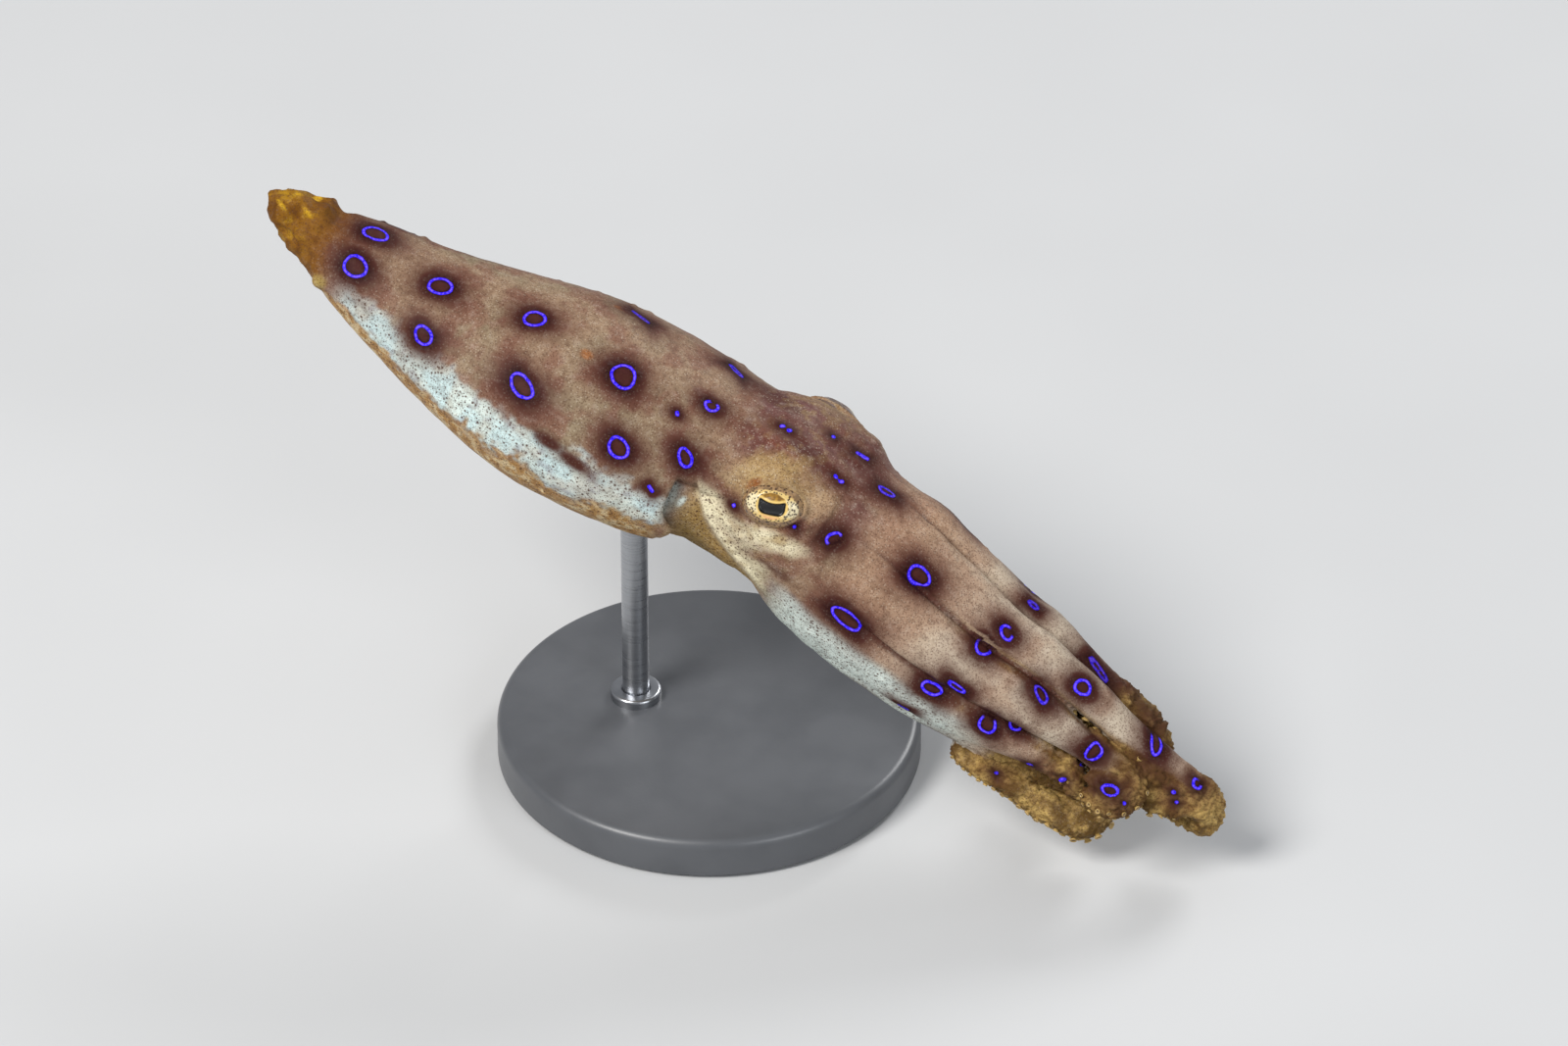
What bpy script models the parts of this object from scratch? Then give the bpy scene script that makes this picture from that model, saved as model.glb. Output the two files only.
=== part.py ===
"""Blue ringed octopus, life size, swimming with its arms trailed, held over a plain display stand.

Sizes are in millimetres until a point is placed in the world. The body frame has x from the mantle's
tip to the arms, y to the animal's left and z to its back. A turn round a section is measured from the
back, down over the right side.
"""
import math
import random

import bmesh
import bpy
from mathutils import Vector

MM = 0.001
GAP = 0.3
SEED = 41

# How the body is held over the stand
PITCH = math.radians(26.7)
BALANCE_X = 46.5
BASE_RADIUS = 19.0
BASE_THICKNESS = 4.0
BASE_ROUNDING = 0.8
BASE_SIDES = 64
ROD_RADIUS = 1.2
ROD_SIDES = 24
ROD_X = 41.5
ROD_SPARE = 3.0
FLOOR_CLEARANCE = 3.0

# Sections: distance from the mantle's tip, height of the middle, half width, half height
MANTLE_SECTIONS = (
    (0.0, 0.3, 0.5, 0.4),
    (0.9, 0.35, 1.1, 0.9),
    (2.6, 0.4, 2.1, 1.8),
    (5.5, -0.1, 3.0, 2.6),
    (9.5, -0.4, 4.6, 3.9),
    (16.4, -0.6, 6.5, 5.4),
    (23.3, -0.1, 8.4, 7.1),
    (30.2, 0.8, 10.0, 8.5),
    (37.1, 1.8, 10.3, 8.6),
    (42.5, 2.7, 9.7, 8.2),
    (46.0, 3.5, 8.9, 7.7),
)
HEAD_SECTIONS = (
    (42.0, 3.6, 7.3, 7.3),
    (46.0, 4.1, 6.9, 7.3),
    (50.0, 4.2, 6.8, 7.7),
    (54.0, 3.9, 7.0, 8.0),
    (58.0, 3.2, 7.8, 8.5),
)
CROWN_SECTIONS = (
    (57.0, 3.3, 7.7, 8.4),
    (60.0, 2.9, 8.1, 8.6),
    (64.6, 2.6, 8.3, 8.8),
    (68.1, 2.1, 8.0, 8.5),
    (71.5, 1.7, 7.7, 8.2),
    (75.0, 1.5, 7.3, 7.7),
    (78.4, 1.6, 7.0, 7.5),
    (81.9, 1.6, 6.5, 6.8),
    (85.3, 1.4, 6.1, 6.2),
    (88.8, 1.0, 5.5, 5.5),
    (92.2, 0.6, 5.0, 5.1),
    (97.0, 0.0, 4.4, 4.3),
)

# The mantle's edge, the head and the crown of arms, as distances along the body
MANTLE_EDGE = 44.0
MANTLE_EDGE_SLANT = 1.0
HEAD_END = 57.6
CROWN_END = 62.0
MANTLE_SIDES = 28
MANTLE_ROWS = (0.0, 0.02, 0.06, 0.11, 0.16, 0.22, 0.3, 0.38, 0.47, 0.56, 0.65, 0.74, 0.83, 0.92, 1.0)
MANTLE_TIP_X = -0.5
HEAD_SIDES = 32
HEAD_ROWS = 15
CROWN_ROWS = (HEAD_END + 0.3, HEAD_END + 1.7, HEAD_END + 3.1, CROWN_END)
SHARP_FROM = math.radians(50.0)

# The crumpled cap at the mantle's tip
CAP_LENGTH = 7.0
CAP_LOBES = 5
CAP_LOBE_DEPTH = 0.13
CAP_LOBE_TWIST = 0.9

# The eyes and the swellings that carry them
EYE_X = 51.9
EYE_TURN = math.radians(58.0)
EYE_SWELL = 2.2
EYE_SWELL_LENGTH = 5.4
EYE_SWELL_TURN = math.radians(36.0)
EYE_LONG = 2.75
EYE_HIGH = 2.15
EYE_DEEP = 1.9
EYE_PROUD = 0.75
EYE_ROWS = 10
EYE_SIDES = 16
SLOPE_STEP = 0.05

# The funnel under the neck
FUNNEL_ROOT = (45.8, 0.0, -4.0)
FUNNEL_TIP = (52.6, 0.0, -4.9)
FUNNEL_ROOT_RADIUS = 2.5
FUNNEL_TIP_RADIUS = 1.4
FUNNEL_BORE = 0.8
FUNNEL_BORE_DEPTH = 2.2
FUNNEL_LIP = 0.2
FUNNEL_FLATNESS = 0.85
FUNNEL_SIDES = 16
FUNNEL_ROWS = (0.0, 0.25, 0.5, 0.75, 0.95)
GROOVE_ROWS = (-0.2, 0.25, 0.5, 0.75, 1.0, 1.3)
GROOVE_GAP = 1.2 * GAP

# Arms: first edge and last edge of the sector round the crown in degrees from the back, where the
# straight stretch ends, the turn the curl goes out on, the curl's radius, its sweep in degrees (out is
# positive), the straight run after it, the sweep of the last small curl, and how stout the curl is
ARMS = {
    "r1": (-4, 38, 96.6, 20, 2.0, -165, 0.3, -40, 1.36),
    "r2": (38, 83, 89.8, 116, 1.85, 185, 0.5, 50, 1.27),
    "r3": (83, 131, 85.6, 118, 3.2, 42, 0.3, 25, 1.22),
    "r4": (131, 178, 88.9, 146, 1.6, 178, 12.2, -10, 1.3),
    "l4": (178, 222, 85.4, 214, 1.7, 160, 4.5, 40, 1.15),
    "l3": (222, 267, 84.6, 252, 1.9, 135, 1.5, 60, 1.15),
    "l2": (267, 312, 85.6, 272, 14.0, -20, 0.4, -10, 1.12),
    "l1": (312, 354, 86.2, 346, 11.0, -27, 0.3, -15, 1.05),
}
ARM_START = CROWN_END + GAP
ARM_MIDDLE = 71.0
ARM_TIP = 80.0
ARM_INNER = 0.46
WEB_END = 65.0
WEB_FADE = 17.0
WEB_SQUARENESS = 6.0
FREE_SQUARENESS = 2.6
ARM_SIDES = 10
ARM_FREE_GAP = 0.45
ARM_END_WIDTH = 0.42
ARM_END_HEIGHT = 0.38
CURL_HALF_WIDTH = 1.25
CURL_HALF_HEIGHT = 1.15
CURL_FULLNESS = 0.65
CURL_TIGHTENING = 0.55
MELT_LENGTH = 9.0

# Suckers stand in two rows on the inner face of each arm
SUCKER_ROOT_RADIUS = 0.56
SUCKER_TIP_RADIUS = 0.3
SUCKER_SIDES = 6
SUCKER_SPACING = 3.5
SUCKER_ASIDE = 0.5
SUCKER_FIRST = 0.9
SUCKER_LAST = 0.7
SUCKER_VARIATION = (0.92, 1.06)
SUCKER_LEAN = 0.35
SUCKER_PROFILE = ((-0.8, 0.7), (0.7, 1.0))
SUCKER_DISH = 0.25

# The arms' lengths, each with its rows of sections, and the sides of the fine section suckers sit on
ARM_ROWS = {"base": 4, "mid": 4, "tip": 15}
FINE_SIDES = 48
LOWEST_ROWS = 40

MATERIALS = {
    "mantle_skin": ((0.36, 0.25, 0.22), 0.5, 0.0),
    "head_skin": ((0.30, 0.19, 0.19), 0.5, 0.0),
    "arm_skin": ((0.42, 0.33, 0.26), 0.5, 0.0),
    "funnel_skin": ((0.62, 0.52, 0.34), 0.5, 0.0),
    "eye_gold": ((0.55, 0.38, 0.10), 0.2, 0.0),
    "stand_paint": ((0.75, 0.75, 0.73), 0.45, 0.0),
    "stand_steel": ((0.62, 0.62, 0.62), 0.3, 1.0),
}


def smooth_step(value):
    value = min(max(value, 0.0), 1.0)
    return value * value * (3.0 - 2.0 * value)


def section_at(sections, x):
    """The height, half width and half height of a table of sections at x, on a smooth curve."""
    x = min(max(x, sections[0][0]), sections[-1][0])
    k = 0
    while k < len(sections) - 2 and x > sections[k + 1][0]:
        k += 1
    before, start = sections[max(k - 1, 0)], sections[k]
    end, after = sections[k + 1], sections[min(k + 2, len(sections) - 1)]
    span = end[0] - start[0]
    u = (x - start[0]) / span
    values = []
    for n in (1, 2, 3):
        slope_in = (end[n] - before[n]) / (end[0] - before[0]) * span
        slope_out = (after[n] - start[n]) / (after[0] - start[0]) * span
        values.append(
            start[n] * (1 + 2 * u) * (1 - u) ** 2
            + slope_in * u * (1 - u) ** 2
            + end[n] * u * u * (3 - 2 * u)
            + slope_out * u * u * (u - 1)
        )
    return values


def on_section(sections, x, turn, reach=1.0):
    """A point of a section at a turn from the back over the right side."""
    height, width, tall = section_at(sections, x)
    return Vector((x, -width * reach * math.sin(turn), height + tall * reach * math.cos(turn)))


def mantle_point(x, turn):
    cap = 1.0 - smooth_step(x / CAP_LENGTH)
    lobes = CAP_LOBE_DEPTH * cap * math.cos(CAP_LOBES * turn + CAP_LOBE_TWIST * x)
    return on_section(MANTLE_SECTIONS, x, turn, 1.0 + lobes)


def turn_between(a, b):
    return abs((a - b + math.pi) % (2.0 * math.pi) - math.pi)


def head_point(x, turn):
    point = on_section(HEAD_SECTIONS, x, turn)
    height = section_at(HEAD_SECTIONS, x)[0]
    outward = Vector((0.0, point.y, point.z - height)).normalized()
    along = math.exp(-(((x - EYE_X) / EYE_SWELL_LENGTH) ** 2))
    swell = 0.0
    for side in (EYE_TURN, -EYE_TURN):
        swell += EYE_SWELL * along * math.exp(-((turn_between(turn, side) / EYE_SWELL_TURN) ** 2))
    return point + outward * swell


def world(point):
    """A body point in the world, in metres, with the base's middle underneath at the origin."""
    x = math.cos(PITCH) * point.x + math.sin(PITCH) * point.z
    z = -math.sin(PITCH) * point.x + math.cos(PITCH) * point.z
    return Vector((x - SHIFT_X, point.y, z + LIFT)) * MM


def clear_scene():
    for thing in list(bpy.data.objects):
        bpy.data.objects.remove(thing)


def new_collection(name):
    collection = bpy.data.collections.new(name)
    bpy.context.scene.collection.children.link(collection)
    return collection


def new_material(name):
    colour, roughness, metallic = MATERIALS[name]
    material = bpy.data.materials.new(name)
    material.use_nodes = True
    shader = material.node_tree.nodes["Principled BSDF"]
    shader.inputs["Base Color"].default_value = (*colour, 1.0)
    shader.inputs["Roughness"].default_value = roughness
    shader.inputs["Metallic"].default_value = metallic
    return material


def faced_out(shape):
    bmesh.ops.recalc_face_normals(shape, faces=shape.faces)
    if shape.calc_volume(signed=True) < 0:
        bmesh.ops.reverse_faces(shape, faces=shape.faces)
    return shape


def loft(rings, start_point=None, end_point=None):
    """A closed mesh through rings of points, each end closed on a middle point."""
    shape = bmesh.new()
    rows = [[shape.verts.new(world(p)) for p in ring] for ring in rings]
    sides = len(rings[0])
    for row, after in zip(rows, rows[1:]):
        for k in range(sides):
            n = (k + 1) % sides
            shape.faces.new((row[k], row[n], after[n], after[k]))
    for ring, row, point in ((rings[0], rows[0], start_point), (rings[-1], rows[-1], end_point)):
        middle = point or sum(ring, Vector()) / sides
        tip = shape.verts.new(world(middle))
        for k in range(sides):
            shape.faces.new((row[(k + 1) % sides], row[k], tip))
    return faced_out(shape)


def add_object(name, shape, material, collection):
    mesh = bpy.data.meshes.new(name)
    shape.to_mesh(mesh)
    shape.free()
    mesh.materials.append(material)
    mesh.shade_smooth()
    mesh.set_sharp_from_angle(angle=SHARP_FROM)
    thing = bpy.data.objects.new(name, mesh)
    collection.objects.link(thing)
    return thing


def edge_of_mantle(turn):
    return MANTLE_EDGE - MANTLE_EDGE_SLANT * math.cos(turn)


def turns(sides):
    return [2.0 * math.pi * k / sides for k in range(sides)]


def make_mantle(collection, material):
    rings = []
    for step in MANTLE_ROWS:
        rings.append([mantle_point(step * edge_of_mantle(t), t) for t in turns(MANTLE_SIDES)])
    tip = Vector((MANTLE_TIP_X, 0.0, MANTLE_SECTIONS[0][1]))
    return add_object("mantle", loft(rings, start_point=tip), material, collection)


def make_head(collection, material):
    rings = []
    for row in range(HEAD_ROWS + 1):
        ring = []
        for turn in turns(HEAD_SIDES):
            start = edge_of_mantle(turn) + GAP
            ring.append(head_point(start + (HEAD_END - start) * row / HEAD_ROWS, turn))
        rings.append(ring)
    return add_object("head", loft(rings), material, collection)


def make_crown(collection, material):
    rings = []
    for x in CROWN_ROWS:
        blend = 1.0 - smooth_step((x - HEAD_END) / (CROWN_END - HEAD_END))
        ring = []
        for turn in turns(HEAD_SIDES):
            ring.append(on_section(CROWN_SECTIONS, x, turn).lerp(head_point(x, turn), 0.5 * blend))
        rings.append(ring)
    return add_object("web_crown", loft(rings), material, collection)


def eye_frame(side):
    """The middle of an eye's surface and the directions along, up and out of the head there."""
    turn = EYE_TURN * side
    point = head_point(EYE_X, turn)
    ahead = head_point(EYE_X + SLOPE_STEP, turn)
    behind = head_point(EYE_X - SLOPE_STEP, turn)
    along = (ahead - behind).normalized()
    above = head_point(EYE_X, turn - SLOPE_STEP * side)
    below = head_point(EYE_X, turn + SLOPE_STEP * side)
    across = (above - below).normalized()
    out = along.cross(across)
    if out.y * -side < 0:
        out.negate()
    return point, along, across, out.normalized()


def ellipsoid(centre, directions, radii):
    shape = bmesh.new()
    bmesh.ops.create_uvsphere(shape, u_segments=EYE_SIDES, v_segments=EYE_ROWS, radius=1.0)
    for vert in shape.verts:
        point = centre.copy()
        for direction, radius, value in zip(directions, radii, vert.co):
            point += direction * (radius * value)
        vert.co = world(point)
    return faced_out(shape)


def cut_out(thing, cutter):
    cutter.hide_render = True
    cutter.display_type = "WIRE"
    cut = thing.modifiers.new(cutter.name, "BOOLEAN")
    cut.operation = "DIFFERENCE"
    cut.object = cutter


def make_eyes(head, collection, cutters, material):
    """An eye on each side, in a socket cut in the head."""
    for name, side in (("eye_right", 1), ("eye_left", -1)):
        point, along, across, out = eye_frame(side)
        centre = point - out * (EYE_DEEP - EYE_PROUD)
        directions = (along, across, out)
        radii = (EYE_LONG, EYE_HIGH, EYE_DEEP)
        add_object(name, ellipsoid(centre, directions, radii), material, collection)
        wider = tuple(radius + GAP for radius in radii)
        socket = add_object(name + "_socket", ellipsoid(centre, directions, wider), material, cutters)
        cut_out(head, socket)


def make_funnel(head, collection, cutters, material):
    """The tapered funnel under the neck, with an open bore at its tip, in a groove cut in the neck."""
    root, tip = Vector(FUNNEL_ROOT), Vector(FUNNEL_TIP)
    axis = (tip - root).normalized()
    side = Vector((0.0, 1.0, 0.0))
    up = side.cross(axis)
    length = (tip - root).length

    def ring(along, radius):
        middle = root + axis * along
        tall = radius * FUNNEL_FLATNESS
        points = []
        for turn in turns(FUNNEL_SIDES):
            points.append(middle + side * (radius * math.cos(turn)) + up * (tall * math.sin(turn)))
        return points

    taper = FUNNEL_TIP_RADIUS - FUNNEL_ROOT_RADIUS
    rings = []
    for step in FUNNEL_ROWS:
        rings.append(ring(length * step, FUNNEL_ROOT_RADIUS + taper * step))
    rings.append(ring(length, FUNNEL_TIP_RADIUS - FUNNEL_LIP))
    rings.append(ring(length, FUNNEL_BORE))
    rings.append(ring(length - FUNNEL_BORE_DEPTH, FUNNEL_BORE * 0.8))
    add_object("funnel", loft(rings), material, collection)
    groove_rings = []
    for step in GROOVE_ROWS:
        groove_rings.append(ring(length * step, FUNNEL_ROOT_RADIUS + taper * step + GROOVE_GAP))
    groove = add_object("funnel_groove", loft(groove_rings), material, cutters)
    cut_out(head, groove)


def super_round(angle, power):
    """A point of the unit superellipse, so a high power gives a squarer section."""
    c, s = math.cos(angle), math.sin(angle)
    return (
        math.copysign(abs(c) ** (2.0 / power), c),
        math.copysign(abs(s) ** (2.0 / power), s),
    )


class Arm:
    """One arm as a row of sections: a wedge of the crown that rounds off and runs into its curl."""

    def __init__(self, name):
        first, last, end, curl_turn, self.curl_radius, sweep, self.run, end_sweep, self.stout = ARMS[name]
        self.first, self.last = math.radians(first), math.radians(last)
        self.middle = 0.5 * (self.first + self.last)
        self.sweep, self.end_sweep = math.radians(sweep), math.radians(end_sweep)
        turn = math.radians(curl_turn)
        self.curl_out = Vector((0.0, -math.sin(turn), math.cos(turn)))
        self.end_radius = CURL_TIGHTENING * self.curl_radius
        self.curl_arc = abs(self.sweep) * self.curl_radius
        self.end_arc = abs(self.end_sweep) * self.end_radius
        self.straight = end - ARM_START
        self.length = self.straight + self.curl_arc + self.run + self.end_arc

    def wedge_ring(self, x, sides):
        """The section while the arm lies in its sector of the bundle."""
        freed = smooth_step((x - WEB_END) / WEB_FADE)
        power = WEB_SQUARENESS + (FREE_SQUARENESS - WEB_SQUARENESS) * freed
        gap = GAP + (ARM_FREE_GAP - GAP) * freed
        height, width, tall = section_at(CROWN_SECTIONS, x)
        half_reach = 0.5 * (1.0 - ARM_INNER)
        ring = []
        for angle in turns(sides):
            out, across = super_round(angle, power)
            reach = ARM_INNER + half_reach * (1.0 + out)
            half_turn = 0.5 * (self.last - self.first) - 0.5 * gap / (reach * 0.5 * (width + tall))
            turn = self.middle + half_turn * across
            ring.append(on_section(CROWN_SECTIONS, x, turn, reach))
        return ring

    def path(self, distance):
        """The middle, forward and outward directions of the free arm at a distance along it."""
        forward0 = Vector((1.0, 0.0, 0.0))
        out0 = self.curl_out
        reach = 0.5 * (1.0 + ARM_INNER)
        point = on_section(CROWN_SECTIONS, ARM_START + min(distance, self.straight), self.middle, reach)
        angle = 0.0
        left = distance - self.straight
        for arc, radius, sweep in (
            (self.curl_arc, self.curl_radius, self.sweep),
            (self.run, 0.0, 0.0),
            (self.end_arc, self.end_radius, self.end_sweep),
        ):
            if left <= 0.0:
                break
            go = min(left, arc)
            if sweep:
                bend = math.copysign(radius, sweep)
                after = angle + go / bend
                point += forward0 * (bend * (math.sin(after) - math.sin(angle)))
                point += out0 * (bend * (math.cos(angle) - math.cos(after)))
                angle = after
            else:
                point += (forward0 * math.cos(angle) + out0 * math.sin(angle)) * go
            left -= arc
        forward = forward0 * math.cos(angle) + out0 * math.sin(angle)
        outward = out0 * math.cos(angle) - forward0 * math.sin(angle)
        return point, forward, outward

    def half_sizes(self, distance):
        """Half width and half thickness of the free arm, which tapers to its tip."""
        left = (self.length - distance) / (self.length - self.straight)
        left = min(max(left, 0.0), 1.0)
        swell = left ** CURL_FULLNESS
        return (
            ARM_END_WIDTH + (CURL_HALF_WIDTH * self.stout - ARM_END_WIDTH) * swell,
            ARM_END_HEIGHT + (CURL_HALF_HEIGHT * self.stout - ARM_END_HEIGHT) * swell,
        )

    def ring(self, distance, sides):
        """The section at a distance along the arm, its wedge melting into the round curl."""
        point, forward, outward = self.path(distance)
        across = forward.cross(outward)
        width, thick = self.half_sizes(distance)
        swept = []
        for angle in turns(sides):
            swept.append(point + outward * (thick * math.cos(angle)) + across * (width * math.sin(angle)))
        melt = smooth_step((distance - self.straight + MELT_LENGTH) / MELT_LENGTH)
        if melt >= 1.0:
            return swept
        wedge = self.wedge_ring(ARM_START + distance, sides)
        return [a.lerp(b, melt) for a, b in zip(wedge, swept)]

    def oral_spot(self, distance, share):
        """A point on the inner face, share of the half width across, and the way out of the skin there."""
        ring = self.ring(distance, FINE_SIDES)
        quarter = FINE_SIDES // 4
        middle = sum(ring, Vector()) / len(ring)
        one_side, inmost, other_side = ring[quarter], ring[2 * quarter], ring[3 * quarter]
        across = (other_side - one_side).normalized()
        aim = share * 0.5 * (other_side - one_side).length
        inner = ring[quarter:3 * quarter + 1]
        for before, after in zip(inner, inner[1:]):
            left = (before - middle).dot(across)
            right = (after - middle).dot(across)
            if left <= aim <= right:
                spot = before.lerp(after, (aim - left) / (right - left))
                lean = SUCKER_LEAN * (spot - middle).normalized()
                return spot, (inmost - middle).normalized() + lean
        return inmost, inmost - middle


def sucker_shape(base, out, along, radius):
    """A short cup with a raised rim and a dished face, sunk in the arm by its foot."""
    side = out.cross(along).normalized()
    along = side.cross(out)
    rings = []
    for height, wide in SUCKER_PROFILE:
        middle = base + out * (height * radius)
        reach = wide * radius
        ring = []
        for turn in turns(SUCKER_SIDES):
            ring.append(middle + along * (reach * math.cos(turn)) + side * (reach * math.sin(turn)))
        rings.append(ring)
    return loft(rings, end_point=base + out * (SUCKER_DISH * radius))


def largest_body(shape):
    """Keeps the closed surface with the most volume and drops any loose scrap."""
    left = set(shape.verts)
    bodies = []
    while left:
        stack = [left.pop()]
        body = set(stack)
        while stack:
            for edge in stack.pop().link_edges:
                for vert in edge.verts:
                    if vert in left:
                        left.discard(vert)
                        body.add(vert)
                        stack.append(vert)
        bodies.append(body)
    if len(bodies) < 2:
        return
    best = max(bodies, key=len)
    loose = [vert for vert in shape.verts if vert not in best]
    bmesh.ops.delete(shape, geom=loose, context="VERTS")


def fuse(node, pieces):
    """Joins the pieces of a collection to a node in one union, which is applied."""
    union = node.modifiers.new("suckers", "BOOLEAN")
    union.operation = "UNION"
    union.operand_type = "COLLECTION"
    union.collection = pieces
    union.solver = "MANIFOLD"
    graph = bpy.context.evaluated_depsgraph_get()
    joined = bpy.data.meshes.new_from_object(node.evaluated_get(graph))
    node.modifiers.remove(union)
    shape = bmesh.new()
    shape.from_mesh(joined)
    largest_body(shape)
    shape.to_mesh(node.data)
    shape.free()
    bpy.data.meshes.remove(joined)
    for piece in list(pieces.objects):
        bpy.data.objects.remove(piece)
    bpy.data.collections.remove(pieces)


def make_arm(name, collection, material, draws):
    """An arm in three lengths, with its suckers fused to each."""
    arm = Arm(name)
    lengths = (
        ("base", 0.0, ARM_MIDDLE - ARM_START),
        ("mid", ARM_MIDDLE - ARM_START + GAP, ARM_TIP - ARM_START),
        ("tip", ARM_TIP - ARM_START + GAP, arm.length),
    )
    for part, start, end in lengths:
        rows = ARM_ROWS[part]
        rings = []
        for row in range(rows + 1):
            rings.append(arm.ring(start + (end - start) * row / rows, ARM_SIDES))
        node = add_object(f"arm_{name}_{part}", loft(rings), material, collection)
        pieces = new_collection(f"suckers_{name}_{part}")
        distance = start + SUCKER_FIRST
        row_side = 1
        while distance < end - SUCKER_LAST:
            share = distance / arm.length
            size = SUCKER_ROOT_RADIUS + (SUCKER_TIP_RADIUS - SUCKER_ROOT_RADIUS) * share
            size *= draws.uniform(*SUCKER_VARIATION)
            spot, out = arm.oral_spot(distance, SUCKER_ASIDE * row_side)
            forward = arm.path(distance)[1]
            out = (out - forward * out.dot(forward)).normalized()
            cup = sucker_shape(spot, out, forward, size)
            add_object(f"sucker_{name}_{part}", cup, material, pieces)
            row_side = -row_side
            distance += SUCKER_SPACING * size
        fuse(node, pieces)


def make_stand(collection, paint, steel):
    """A round base, and one rod up to the belly, cut square to the belly's slope."""
    bpy.ops.mesh.primitive_cylinder_add(
        vertices=BASE_SIDES, radius=BASE_RADIUS * MM, depth=BASE_THICKNESS * MM,
        location=(0.0, 0.0, 0.5 * BASE_THICKNESS * MM),
    )
    base = bpy.context.object
    base.name = "stand_base"
    base.data.materials.append(paint)
    base.data.transform(base.matrix_world)
    base.matrix_world.identity()
    bevel = base.modifiers.new("rounding", "BEVEL")
    bevel.width = BASE_ROUNDING * MM
    bevel.segments = 2
    bevel.limit_method = "ANGLE"
    belly = world(on_section(MANTLE_SECTIONS, ROD_X, math.pi))
    foot = (BASE_THICKNESS + GAP) * MM
    top = belly.z + ROD_SPARE * MM
    bpy.ops.mesh.primitive_cylinder_add(
        vertices=ROD_SIDES, radius=ROD_RADIUS * MM, depth=top - foot,
        location=(belly.x, 0.0, 0.5 * (top + foot)),
    )
    rod = bpy.context.object
    rod.name = "stand_rod"
    rod.data.materials.append(steel)
    rod.data.transform(rod.matrix_world)
    rod.matrix_world.identity()
    ahead = world(on_section(MANTLE_SECTIONS, ROD_X + 1.0, math.pi))
    behind = world(on_section(MANTLE_SECTIONS, ROD_X - 1.0, math.pi))
    slope = (ahead - behind).normalized()
    normal = slope.cross(Vector((0.0, 1.0, 0.0)))
    if normal.z > 0:
        normal.negate()
    shape = bmesh.new()
    shape.from_mesh(rod.data)
    plane = belly + normal * (GAP * 1.5 * MM)
    cut = bmesh.ops.bisect_plane(
        shape, geom=list(shape.verts) + list(shape.edges) + list(shape.faces),
        plane_co=plane, plane_no=-normal, clear_outer=True,
    )
    rim = [part for part in cut["geom_cut"] if isinstance(part, bmesh.types.BMEdge)]
    bmesh.ops.contextual_create(shape, geom=rim)
    bmesh.ops.recalc_face_normals(shape, faces=shape.faces)
    shape.to_mesh(rod.data)
    shape.free()
    for thing in (base, rod):
        for owner in list(thing.users_collection):
            owner.objects.unlink(thing)
        collection.objects.link(thing)


def lowest_arm_point():
    """The lowest point of the arms over the mantle's tip, before the body is lifted."""
    low = 0.0
    for name in ARMS:
        arm = Arm(name)
        for row in range(LOWEST_ROWS + 1):
            for point in arm.ring(arm.length * row / LOWEST_ROWS, ARM_SIDES):
                low = min(low, -math.sin(PITCH) * point.x + math.cos(PITCH) * point.z)
    return low


SHIFT_X = math.cos(PITCH) * BALANCE_X
LIFT = FLOOR_CLEARANCE - lowest_arm_point()


def main():
    clear_scene()
    body = new_collection("blue_ringed_octopus")
    cutters = new_collection("cutters")
    finish = {name: new_material(name) for name in MATERIALS}
    draws = random.Random(SEED)
    make_mantle(body, finish["mantle_skin"])
    head = make_head(body, finish["head_skin"])
    make_eyes(head, body, cutters, finish["eye_gold"])
    make_funnel(head, body, cutters, finish["funnel_skin"])
    make_crown(body, finish["arm_skin"])
    for name in ARMS:
        make_arm(name, body, finish["arm_skin"], draws)
    make_stand(body, finish["stand_paint"], finish["stand_steel"])


main()
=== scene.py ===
"""Blue ringed octopus on its stand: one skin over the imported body, suckers, eyes, stand and studio.

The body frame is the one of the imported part, in millimetres: x from the mantle's tip to the arms,
y to the animal's left, z to its back. A turn is measured from the back down over the right side.
"""
import itertools
import math
import random

import bmesh
import bpy
import numpy as np
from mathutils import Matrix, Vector
from mathutils.bvhtree import BVHTree
from mathutils.kdtree import KDTree


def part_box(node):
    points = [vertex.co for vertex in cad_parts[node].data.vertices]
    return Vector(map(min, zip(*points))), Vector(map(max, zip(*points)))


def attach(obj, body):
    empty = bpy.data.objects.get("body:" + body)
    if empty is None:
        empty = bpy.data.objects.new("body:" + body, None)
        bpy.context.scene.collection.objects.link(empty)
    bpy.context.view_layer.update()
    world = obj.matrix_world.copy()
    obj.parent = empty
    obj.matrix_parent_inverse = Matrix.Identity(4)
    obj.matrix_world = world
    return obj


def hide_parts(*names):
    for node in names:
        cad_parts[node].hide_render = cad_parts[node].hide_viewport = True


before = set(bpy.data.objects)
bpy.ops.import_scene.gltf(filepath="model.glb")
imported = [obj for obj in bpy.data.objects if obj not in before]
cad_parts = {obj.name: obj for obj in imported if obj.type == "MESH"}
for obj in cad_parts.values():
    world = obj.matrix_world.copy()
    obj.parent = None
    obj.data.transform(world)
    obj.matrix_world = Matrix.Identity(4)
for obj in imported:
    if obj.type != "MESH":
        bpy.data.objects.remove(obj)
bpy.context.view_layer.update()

MM = 0.001
SEED = 20

# How the body is held over the stand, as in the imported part
PITCH = math.radians(26.7)
BALANCE_X = 46.5
SHIFT_X = math.cos(PITCH) * BALANCE_X

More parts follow.
